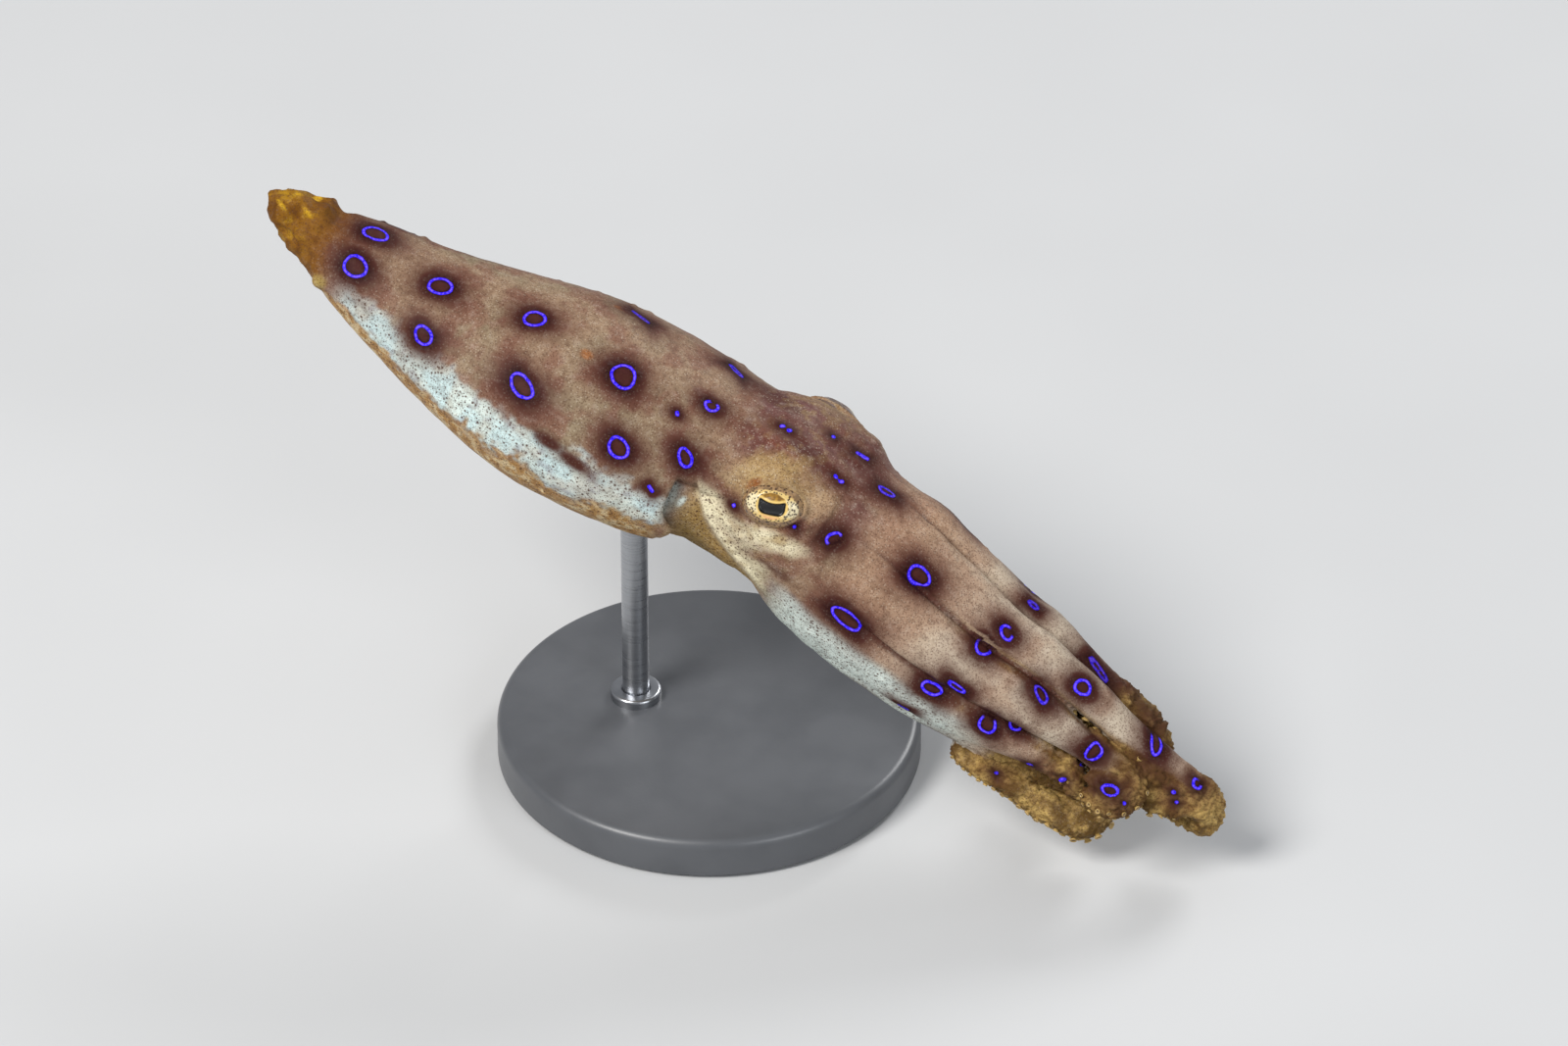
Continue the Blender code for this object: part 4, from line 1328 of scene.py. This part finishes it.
def paint(skin, marks):
    """The skin's colour without its speckle, how strong the speckle is, and where the skin is ochre."""
    points = skin.points
    cloud = layered_noise(points, 4.5, 31)
    patch = layered_noise(points, 1.8, 41)
    rough = rough_share(skin)
    some = rough > 0.02
    grain = np.zeros(len(points))
    grain[some] = grain_bumps(grain_places(points[some]), GRAIN, 13)
    colour = coated(
        np.tile(TAUPE, (len(points), 1)),
        (GREY_BROWN, rise(cloud, 0.35, 0.35)),
        (PINK_BROWN, 0.8 * rise(patch, 0.42, 0.25)),
    )
    colour, band = paint_mantle(skin, colour, cloud)
    colour, face = paint_head(skin, colour, cloud)
    colour, side = paint_arms(skin, colour, cloud, grain, rough)
    colour = paint_tints(skin, colour, patch)
    spread = 0.95 * marks.brown * (0.65 + 0.7 * patch) * (1.0 - 0.4 * rough)
    halo = rise(marks.dark, 0.04, 0.6) * (1.0 - 0.35 * rough)
    inside = rise(-marks.line, 0.1, 0.4)
    colour = coated(
        colour,
        (HALO_BROWN, np.maximum(spread, halo)),
        (HALO_DARK, marks.dark * np.clip(0.72 + 0.4 * patch, 0.0, 1.0)),
        (INSIDE_BROWN, inside * (0.5 + 0.5 * value_noise(points, 0.5, 52))),
    )
    pale = np.clip(band + face + side, 0.0, 1.0) * (1.0 - marks.dark)
    return colour, pale, rough


def store(mesh, name, *columns):
    """Four numbers at each point, for the materials to read."""
    count = len(mesh.vertices)
    values = np.zeros((count, 4), dtype=np.float32)
    for n, column in enumerate(columns):
        values[:, n] = column
    layer = mesh.attributes.new(name, "FLOAT_COLOR", "POINT")
    layer.data.foreach_set("color", values.ravel())


class Graph:
    """Short calls for the nodes of one material."""

    def __init__(self, name, **shader):
        self.material = bpy.data.materials.new(name)
        self.material.use_nodes = True
        self.tree = self.material.node_tree
        self.shader = self.tree.nodes["Principled BSDF"]
        for key, value in shader.items():
            self.shader.inputs[key.replace("_", " ")].default_value = value

    def node(self, kind, settings=None, **inputs):
        made = self.tree.nodes.new("ShaderNode" + kind)
        for key, value in (settings or {}).items():
            setattr(made, key, value)
        for key, value in inputs.items():
            self.feed(made.inputs[key.replace("_", " ")], value)
        return made

    def feed(self, socket, value):
        if isinstance(value, bpy.types.NodeSocket):
            self.tree.links.new(value, socket)
        elif value is not None:
            socket.default_value = value

    def math(self, operation, *values, clamp=False):
        made = self.tree.nodes.new("ShaderNodeMath")
        made.operation = operation
        made.use_clamp = clamp
        for socket, value in zip(made.inputs, values):
            self.feed(socket, value)
        return made.outputs[0]

    def times(self, product, *factors):
        for factor in factors:
            product = self.math("MULTIPLY", product, factor)
        return product

    def scaled(self, value, factor, shift):
        return self.math("MULTIPLY_ADD", value, factor, shift)

    def between(self, value, low, high):
        """0 below low and 1 above high, smoothly."""
        made = self.tree.nodes.new("ShaderNodeMapRange")
        made.interpolation_type = "SMOOTHSTEP"
        for socket, number in zip(made.inputs, (value, low, high, 0.0, 1.0)):
            self.feed(socket, number)
        return made.outputs[0]

    def mix(self, amount, first, second):
        made = self.tree.nodes.new("ShaderNodeMix")
        made.data_type = "RGBA"
        self.feed(made.inputs[0], amount)
        for socket, value in ((made.inputs[6], first), (made.inputs[7], second)):
            self.feed(socket, (*value, 1.0) if isinstance(value, (tuple, np.ndarray)) else value)
        return made.outputs[2]

    def values(self, name):
        """The four numbers that store() kept under a name."""
        made = self.node("Attribute", {"attribute_name": name})
        split = self.node("SeparateColor", Color=made.outputs["Color"])
        return made.outputs["Color"], *split.outputs[:3], made.outputs["Alpha"]

    def place(self):
        return self.node("TexCoord").outputs["Object"]

    def noise(self, size, detail=2.0):
        """Noise with lumps of a size in millimetres."""
        scale = 1.0 / (size * MM)
        return self.node("TexNoise", None, Vector=self.place(), Scale=scale, Detail=detail).outputs[0]

    def cells(self, size, channel=None):
        """Distance from the nearest of points a size in millimetres apart, and that point's number."""
        made = self.node("TexVoronoi", None, Vector=self.place(), Scale=1.0 / (size * MM))
        if channel is None:
            return made.outputs["Distance"]
        number = self.node("SeparateColor", Color=made.outputs["Color"]).outputs[channel]
        return made.outputs["Distance"], number

    def bump(self, height, depth, strength=1.0, after=None):
        made = self.node("Bump", None, Strength=strength, Distance=depth * MM, Height=height)
        if after is not None:
            self.feed(made.inputs["Normal"], after)
        return made.outputs["Normal"]

    def finish(self, **links):
        for key, value in links.items():
            self.feed(self.shader.inputs[key.replace("_", " ")], value)
        return self.material


PALE_MOTTLE_AND_SHEEN = (0.6, 0.52, 0.44)
BLUE_DEEP = srgb(40, 24, 240)
BLUE_HIGHLIGHT = srgb(122, 92, 255)
SPECK_BROWN = srgb(70, 42, 32)
FLECK_WHITE = srgb(226, 216, 196)


def skin_material():
    """Wet skin: tone from the mesh, a pale mottle that is partly a painted sheen, colour cells at two
    sizes, white flecks, and the blue lines with a painted highlight beaded along their middles.
    """
    graph = Graph("octopus_skin", Specular_IOR_Level=0.04)
    tone, *_ = graph.values("tone")
    _, line, drawn, strength, pale = graph.values("marks")
    _, rough, dark, _, _ = graph.values("finish")
    mottle = graph.noise(0.7, 3.0)
    bare = graph.math("SUBTRACT", graph.math("SUBTRACT", 1.0, dark), rough, clamp=True)
    # Pale tan where the mottle is high: partly the skin's own mottle, partly a painted sheen.
    tone = graph.mix(graph.times(graph.between(mottle, 0.5, 0.75), 0.16, bare), tone, PALE_MOTTLE_AND_SHEEN)
    tone = graph.mix(graph.times(graph.between(mottle, 0.5, 0.3), 0.3), tone, SPECK_BROWN)
    gap, seed = graph.cells(0.17, 0)
    fine = graph.between(gap, graph.scaled(seed, 0.4, 0.3), 0.12)
    tone = graph.mix(graph.times(fine, 0.6), tone, SPECK_BROWN)
    gap, seed = graph.cells(0.19, 1)
    light = graph.times(graph.between(gap, 0.5, 0.2), graph.between(seed, 0.45, 0.9), bare, 0.22)
    tone = graph.mix(light, tone, FLECK_WHITE)
    gap, seed = graph.cells(0.33, 0)
    dots = graph.between(gap, graph.scaled(seed, 0.36, 0.2), 0.12)
    tone = graph.mix(graph.times(dots, graph.scaled(pale, 0.75, 0.2)), tone, SPECK_BROWN)
    gap, seed = graph.cells(0.55, 1)
    fleck = graph.times(graph.between(gap, 0.16, 0.05), graph.between(seed, 0.95, 0.97), bare, 0.6)
    tone = graph.mix(fleck, tone, FLECK_WHITE)
    waver = graph.scaled(graph.noise(0.45, 1.0), 0.14, -0.07)
    away = graph.math("ABSOLUTE", graph.math("ADD", line, waver))
    inside = graph.between(away, LINE_HALF_WIDTH + 0.03, LINE_HALF_WIDTH - 0.03)
    inside = graph.times(inside, drawn, strength)
    # Painted highlight: pale violet beads along the middle of each blue line, over the lines' own deep
    # blue.
    highlight_beads = graph.times(graph.between(graph.noise(0.22, 1.0), 0.36, 0.6), 0.9)
    line_highlight = graph.times(graph.between(away, LINE_HALF_WIDTH, 0.02), highlight_beads)
    tone = graph.mix(inside, tone, graph.mix(line_highlight, BLUE_DEEP, BLUE_HIGHLIGHT))
    grain = graph.bump(graph.noise(0.25, 2.0), 0.05, 0.6)
    grain = graph.bump(graph.cells(0.4), 0.05, 0.5, grain)
    return graph.finish(Base_Color=tone, Roughness=graph.scaled(mottle, 0.25, 0.35), Normal=grain)


def sucker_material():
    """Moist cups, mottled with cream and olive."""
    graph = Graph("sucker_skin", Coat_Weight=0.4, Coat_Roughness=0.2, Specular_IOR_Level=0.45)
    tone, *_ = graph.values("tone")
    mottle = graph.noise(0.3, 2.0)
    tone = graph.mix(graph.times(graph.between(mottle, 0.5, 0.7), 0.4), tone, ARM_CREAM)
    tone = graph.mix(graph.times(graph.between(mottle, 0.45, 0.3), 0.5), tone, ARM_OLIVE)
    grain = graph.bump(graph.noise(0.12, 2.0), 0.03, 0.5)
    return graph.finish(Base_Color=tone, Roughness=graph.scaled(mottle, 0.2, 0.35), Normal=grain)


def link(mesh, name, material, slot, *nodes):
    """A piece of the model, which takes the place of some nodes."""
    piece = placed(name, mesh)
    mesh.materials.clear()
    mesh.materials.append(material)
    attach(piece, "root")
    if nodes:
        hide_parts(*nodes)


def make_skin():
    skin = Skin()
    skin.find_surface()
    raise_relief(skin)
    skin.find_surface()
    marks = make_marks(skin)
    colour, pale, rough = paint(skin, marks)
    mesh = skin.mesh
    store(mesh, "tone", *colour.T)
    store(mesh, "marks", marks.line, marks.drawn, marks.strength, pale)
    cap = 1.0 - rise(skin.points[:, 0], 5.0, 3.0)
    store(mesh, "finish", np.maximum(0.7 * rough, 0.8 * cap), np.maximum(marks.dark, 0.85 * marks.brown))
    set_points(mesh, to_world(skin.points))
    mesh.shade_smooth()
    arms = [f"arm_{name}_{part}" for name in ARMS for part in ("base", "mid", "tip")]
    link(mesh, "skin", skin_material(), "skin", "mantle", "head", "web_crown", "funnel", *arms)
    return skin


# Half width and height of a sucker's cup in sucker radii, from its foot to the floor of its dish
SUCKER_PROFILE = (
    (0.62, -0.7),
    (0.6, 0.05),
    (0.82, 0.3),
    (1.0, 0.55),
    (0.99, 0.72),
    (0.84, 0.82),
    (0.66, 0.7),
    (0.5, 0.42),
    (0.25, 0.3),
)
SUCKER_SIDES = 14
SUCKER_RADIUS = 0.52
SUCKER_TIP_RADIUS = 0.2
SUCKERS_FROM = 6.0
SUCKER_SPACING = 1.62
# How far the two rows stand apart from the middle, and how far the seen arms lean them out, in degrees
SUCKER_ROW_TURN = 27.0
SUCKER_LEAN = 42.0
SEEN_ARMS = ("r1", "r2", "r3")
# The first row of the profile that is the dark floor of the dish
DISH_ROW = 7
# How many places round an arm a sucker may stand at
SECTION_SIDES = 72


def cup_rings(spot, out, forward, radius):
    """A sucker's cup that stands out from a spot of the skin."""
    along = (forward - out * forward.dot(out)).normalized()
    side = out.cross(along)

    def place(row, turn):
        wide, high = row[0] * radius, row[1] * radius
        return spot + out * high + along * (wide * math.cos(turn)) + side * (wide * math.sin(turn))

    return rings_of(SUCKER_PROFILE, SUCKER_SIDES, place)


def make_suckers(skin):
    """Two rows of cups under each arm to its tip, each set on the skin where it is free."""
    shell = Shell()
    tones = []
    vary = random.Random(SEED + 3)
    for name in ARMS:
        arm = Arm(name)
        distance, row = SUCKERS_FROM, 1
        while distance < arm.length - 0.3:
            share = distance / arm.length
            radius = SUCKER_RADIUS + (SUCKER_TIP_RADIUS - SUCKER_RADIUS) * share ** 1.5
            radius *= vary.uniform(0.92, 1.08)
            lean = SUCKER_LEAN if name in SEEN_ARMS and distance < arm.straight else 0.0
            angle = math.radians(180.0 - lean + SUCKER_ROW_TURN * row)
            forward = arm.path(distance)[1]
            ring = arm.ring(distance, SECTION_SIDES)
            centre = sum(ring, Vector()) / len(ring)
            aim = ring[round(math.degrees(angle) * SECTION_SIDES / 360.0) % SECTION_SIDES]
            out = (aim - centre).normalized()
            distance += SUCKER_SPACING * radius
            row = -row
            spot, normal, _, away = skin.bvh.find_nearest(aim)
            if spot is None or away > 0.5 or normal.dot(out) < 0.35:
                continue
            before = len(shell.points)
            shell.add(cup_rings(spot, (out + normal).normalized(), forward, radius))
            light = vary.uniform(0.3, 0.9)
            rim = ARM_OCHRE * (1 - light) + ARM_CREAM * light
            for n in range(len(shell.points) - before):
                tones.append(ARM_OLIVE * 1.6 if n >= DISH_ROW * SUCKER_SIDES else rim)
    shell.points = [tuple(p) for p in to_world(shell.points)]
    mesh = shell.mesh("suckers")
    store(mesh, "tone", *np.array(tones).T)
    mesh.shade_smooth()
    link(mesh, "suckers", sucker_material(), "skin")


RIM_LONG = 2.36
RIM_HIGH = 1.33
PUPIL_LONG = 1.2
PUPIL_HIGH = 0.66
PUPIL_TOP_CORNER = 0.2
PUPIL_LOW_CORNER = 0.55
PUPIL_DROP = 0.1
IRIS_LONG = 1.42
IRIS_HIGH = 1.12
PUPIL_DIP = 0.26
IRIS_BOWL = 0.1
IRIS_EDGE = 0.07
EYE_RINGS = 84
EYE_SIDES = 144


def pupil_gap(a, b):
    """How far a place on the eye is outside the bean-shaped pupil, in millimetres, below 0 inside."""
    across = 1.0 - (a / PUPIL_LONG) ** 2
    top = PUPIL_HIGH - 0.3 * across
    bottom = -PUPIL_HIGH - 0.1 * across + 0.06
    middle, half = 0.5 * (top + bottom), 0.5 * (top - bottom)
    corner = min(PUPIL_TOP_CORNER if b > middle else PUPIL_LOW_CORNER, half)
    qx = abs(a) - PUPIL_LONG + corner
    qy = abs(b - middle) - half + corner
    outside = math.hypot(max(qx, 0.0), max(qy, 0.0))
    return outside + min(max(qx, qy), 0.0) - corner


def make_eye(name, side):
    """An eyeball with a dotted rim, a golden iris and a sunken bean-shaped pupil."""
    point, level, up, out = eye_frame(side)
    centre = point - out * (EYE_DEEP - EYE_PROUD)
    points, places = [], []
    for row in range(1, EYE_RINGS + 1):
        reach = math.sin(math.pi * 0.5 * (row / EYE_RINGS) ** 0.9)
        depth = math.sqrt(max(1.0 - reach * reach, 0.0))
        for t in turns(EYE_SIDES):
            a, b = EYE_LONG * reach * math.cos(t), EYE_HIGH * reach * math.sin(t)
            seen = math.hypot(a / RIM_LONG, b / RIM_HIGH)
            iris = math.hypot(a / IRIS_LONG, b / IRIS_HIGH)
            inside = pupil_gap(a, b + PUPIL_DROP)
            dip = PUPIL_DIP * float(fall(inside, 0.05, 0.22))
            rim = IRIS_EDGE * math.exp(-(((iris - 1.1) / 0.1) ** 2))
            bowl = IRIS_BOWL * float(fall(iris, 1.0, 0.3))
            points.append(centre + level * a + up * b + out * (EYE_DEEP * depth + rim - bowl - dip))
            places.append((inside, seen, iris, b))
    shell = Shell()
    rings = [points[n:n + EYE_SIDES] for n in range(0, len(points), EYE_SIDES)]
    rings.append([centre + (p - centre) * 0.8 - out * 0.5 for p in rings[-1]])
    shell.add(rings)
    back = len(shell.points) - len(places)
    places.extend([(3.0, 2.0, 3.0, 0.0)] * back)
    places[-2] = (pupil_gap(0.0, PUPIL_DROP), 0.0, 0.0, 0.0)
    shell.points[-2] = tuple(sum(points[:EYE_SIDES], Vector()) / EYE_SIDES)
    shell.points = [tuple(p) for p in to_world(shell.points)]
    mesh = shell.mesh(name + "_globe")
    store(mesh, "eye", *np.array(places).T)
    mesh.shade_smooth()
    material = eye_material(name, 0.95, LID_TAN) if side > 0 else eye_material(name, 0.75, LID_BROWN)
    link(mesh, name + "_globe", material, "eye", name)


IRIS_DARK = srgb(112, 78, 16)
IRIS_GOLD = srgb(172, 126, 34)
IRIS_BRIGHT = srgb(230, 198, 116)
IRIS_PINK = srgb(214, 160, 118)
RIM_GOLD = srgb(210, 180, 112)
RIM_WHITE = srgb(218, 204, 164)
RIM_DOT = srgb(52, 30, 12)
PUPIL_BLACK = srgb(6, 6, 9)
LID_BROWN = srgb(104, 78, 62)
LID_TAN = srgb(150, 118, 80)


def eye_material(name, lid, lid_tone):
    """A golden iris round a black pupil, a dotted rim, and the lid from its share of the rim on."""
    graph = Graph(name + "_gold", Coat_Weight=0.5, Coat_Roughness=0.05, Roughness=0.35)
    _, inside, seen, iris, up = graph.values("eye")
    cloud = graph.noise(0.4, 3.0)
    tone = graph.mix(graph.between(cloud, 0.35, 0.65), IRIS_GOLD, IRIS_DARK)
    tone = graph.mix(graph.times(graph.between(up, 0.45, 1.05), 0.55), tone, IRIS_DARK)
    wobble = graph.scaled(cloud, 0.16, -0.08)
    bright = graph.between(graph.math("ADD", inside, wobble), 0.36, 0.1)
    tone = graph.mix(graph.times(bright, 0.85), tone, IRIS_BRIGHT)
    tone = graph.mix(graph.times(graph.between(up, -0.75, -1.0), 0.7), tone, IRIS_PINK)
    rim = graph.between(graph.math("ADD", iris, wobble), 0.96, 1.06)
    level = graph.between(graph.math("ABSOLUTE", up), 0.95, 0.5)
    tone = graph.mix(rim, tone, graph.mix(level, RIM_GOLD, RIM_WHITE))
    skin = graph.mix(graph.between(cloud, 0.38, 0.62), lid_tone, 0.6 * lid_tone)
    edge = graph.math("ADD", seen, graph.times(wobble, 0.6))
    tone = graph.mix(graph.between(edge, lid, lid + 0.1), tone, skin)
    gap, seed = graph.cells(0.25, 0)
    dots = graph.between(gap, graph.scaled(seed, 0.2, 0.4), 0.28)
    tone = graph.mix(graph.times(dots, graph.scaled(rim, 0.85, 0.08)), tone, RIM_DOT)
    tone = graph.mix(graph.times(graph.between(inside, 0.1, 0.02), 0.6), tone, IRIS_DARK)
    tone = graph.mix(graph.between(inside, 0.03, -0.03), tone, PUPIL_BLACK)
    return graph.finish(Base_Color=tone, Normal=graph.bump(graph.noise(0.15, 2.0), 0.03, 0.5))


PAINT_DARK, PAINT_LIGHT = srgb(74, 76, 80), srgb(82, 84, 88)
STEEL_DARK, STEEL_LIGHT = srgb(160, 162, 166), srgb(172, 174, 178)
PAPER_DARK, PAPER_LIGHT = srgb(186, 187, 188), srgb(194, 195, 196)
BASE_SIDES = 192
BASE_ROUNDING = 0.8
ROD_SIDES = 64
COLLAR_RADIUS = 2.3
COLLAR_HEIGHT = 0.9
COLLAR_ROUNDING = 0.3
ROD_IN_SKIN = 0.8
# Half the side of the paper under the stand, in metres
FLOOR_HALF_SIZE = 1.6


def turned(name, profile, sides, place):
    """A closed piece turned round an upright axis from (radius, height) points, in millimetres."""
    def at(row, turn):
        return place[0] + row[0] * math.cos(turn), place[1] + row[0] * math.sin(turn), row[1]

    shell = Shell()
    shell.add(rings_of(profile, sides, at))
    shell.points = [tuple(MM * value for value in point) for point in shell.points]
    mesh = shell.mesh(name)
    mesh.shade_smooth()
    mesh.set_sharp_from_angle(angle=math.radians(35))
    return mesh


def rounded(radius, height, corner):
    """Points of a quarter round at a turned piece's edge, from its side on to its flat top."""
    points = []
    for step in range(7):
        angle = math.pi / 2 * step / 6
        inward, down = corner * (1.0 - math.cos(angle)), corner * (1.0 - math.sin(angle))
        points.append((radius - inward, height - down))
    return points


def make_stand():
    """The round base with a collar, and the rod that holds the belly."""
    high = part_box("stand_base")[1]
    radius, top = high[0] / MM, high[2] / MM
    base = [(radius - 1.2, 0.0), (radius - 0.3, 0.15), (radius, 0.45)]
    base += rounded(radius, top, BASE_ROUNDING) + [(radius * 0.6, top)]
    plinth = turned("stand_plinth", base, BASE_SIDES, (0.0, 0.0))
    link(plinth, "stand_plinth", base_material(), "stand_paint", "stand_base")
    low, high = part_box("stand_rod")
    radius = 0.5 * (high[1] - low[1]) / MM
    place = (0.5 * (low[0] + high[0]) / MM, 0.5 * (low[1] + high[1]) / MM)
    collar_top = top + COLLAR_HEIGHT
    rod = [(COLLAR_RADIUS, top - 0.2), (COLLAR_RADIUS, top + 0.1)]
    rod += rounded(COLLAR_RADIUS, collar_top, COLLAR_ROUNDING)
    rod += [(radius + 0.15, collar_top), (radius, collar_top - 0.15), (radius, high[2] / MM + ROD_IN_SKIN)]
    post = turned("stand_post", rod, ROD_SIDES, place)
    link(post, "stand_post", rod_material(), "stand_steel", "stand_rod")


def base_material():
    """Satin paint with a fine grain."""
    paint = Graph("base_paint", Roughness=0.4, Coat_Weight=0.2, Coat_Roughness=0.25)
    cloud = paint.noise(6.0, 3.0)
    tone = paint.mix(paint.between(cloud, 0.3, 0.7), PAINT_DARK, PAINT_LIGHT)
    grain = paint.bump(paint.noise(0.3, 3.0), 0.02, 0.4)
    return paint.finish(Base_Color=tone, Normal=grain, Roughness=paint.scaled(cloud, 0.12, 0.36))


def rod_material():
    """Turned steel with fine lines round it."""
    steel = Graph("rod_steel", Metallic=1.0)
    across = steel.node("Mapping", None, Vector=steel.place())
    across.inputs["Scale"].default_value = (0.05, 0.05, 1.0)
    lines = steel.node("TexNoise", None, Vector=across.outputs[0], Scale=6000.0, Detail=3.0).outputs[0]
    tone = steel.mix(steel.between(lines, 0.35, 0.65), STEEL_DARK, STEEL_LIGHT)
    roughness = steel.scaled(lines, 0.2, 0.2)
    grooves = steel.bump(lines, 0.005, 0.1)
    return steel.finish(Base_Color=tone, Roughness=roughness, Normal=grooves)


def make_floor():
    size = FLOOR_HALF_SIZE
    mesh = bpy.data.meshes.new("floor")
    corners = [(-size, -size, 0.0), (size, -size, 0.0), (size, size, 0.0), (-size, size, 0.0)]
    mesh.from_pydata(corners, [], [(0, 1, 2, 3)])
    graph = Graph("floor_paper", Roughness=0.85)
    tone = graph.mix(graph.noise(40.0, 2.0), PAPER_DARK, PAPER_LIGHT)
    mesh.materials.append(graph.finish(Base_Color=tone))
    placed("floor", mesh)


# The place the lights point at, in metres
LIGHT_TARGET = Vector((0.0, 0.0, 0.025))


def add_light(name, place, size, watts, colour=(1.0, 1.0, 1.0)):
    light = bpy.data.lights.new(name, "AREA")
    light.shape = "DISK"
    light.size = size
    light.energy = watts
    light.color = colour
    lamp = placed(name, light)
    lamp.location = place
    aim = LIGHT_TARGET - lamp.location
    lamp.rotation_euler = aim.to_track_quat("-Z", "Y").to_euler()


def light_studio():
    world = bpy.data.worlds.new("studio")
    world.use_nodes = True
    sky = world.node_tree.nodes["Background"].inputs
    sky["Color"].default_value = (0.92, 0.95, 1.0, 1.0)
    sky["Strength"].default_value = 0.36
    bpy.context.scene.world = world
    add_light("key", (-0.25, -0.45, 0.6), 0.35, 6.4, (1.0, 0.98, 0.95))
    add_light("fill", (0.6, -0.35, 0.3), 0.4, 1.8, (0.94, 0.97, 1.0))
    add_light("rim", (0.15, 0.6, 0.45), 0.3, 2.6)
    bpy.context.scene.view_settings.view_transform = "Standard"


# The photograph's frame in millimetres at the animal, and where the mantle's tip lies in it
FIELD_WIDTH = 137.9
TIP_TO_MIDDLE = (45.26, 28.7)
LENS = 200.0
SENSOR = 36.0


def place_camera():
    """The photograph's view, square to the body's length."""
    a, e = AZIMUTH, ELEVATION
    right = Vector((math.cos(a), math.sin(a), 0.0))
    up = Vector((-math.sin(a) * math.sin(e), math.cos(a) * math.sin(e), math.cos(e)))
    back = right.cross(up)
    tip = world_vector((0.0, 0.0, TIP_HEIGHT))
    target = tip + right * (TIP_TO_MIDDLE[0] * MM) - up * (TIP_TO_MIDDLE[1] * MM)
    data = bpy.data.cameras.new("camera")
    data.sensor_width = SENSOR
    data.lens = LENS
    data.clip_start = 0.01
    camera = placed("camera", data)
    camera.location = target + back * (FIELD_WIDTH * MM * LENS / SENSOR)
    camera.rotation_euler = back.to_track_quat("Z", "Y").to_euler()
    bpy.context.scene.camera = camera


place_camera()
octopus_skin = make_skin()
make_suckers(octopus_skin)
make_eye("eye_right", 1)
make_eye("eye_left", -1)
make_stand()
make_floor()
light_studio()
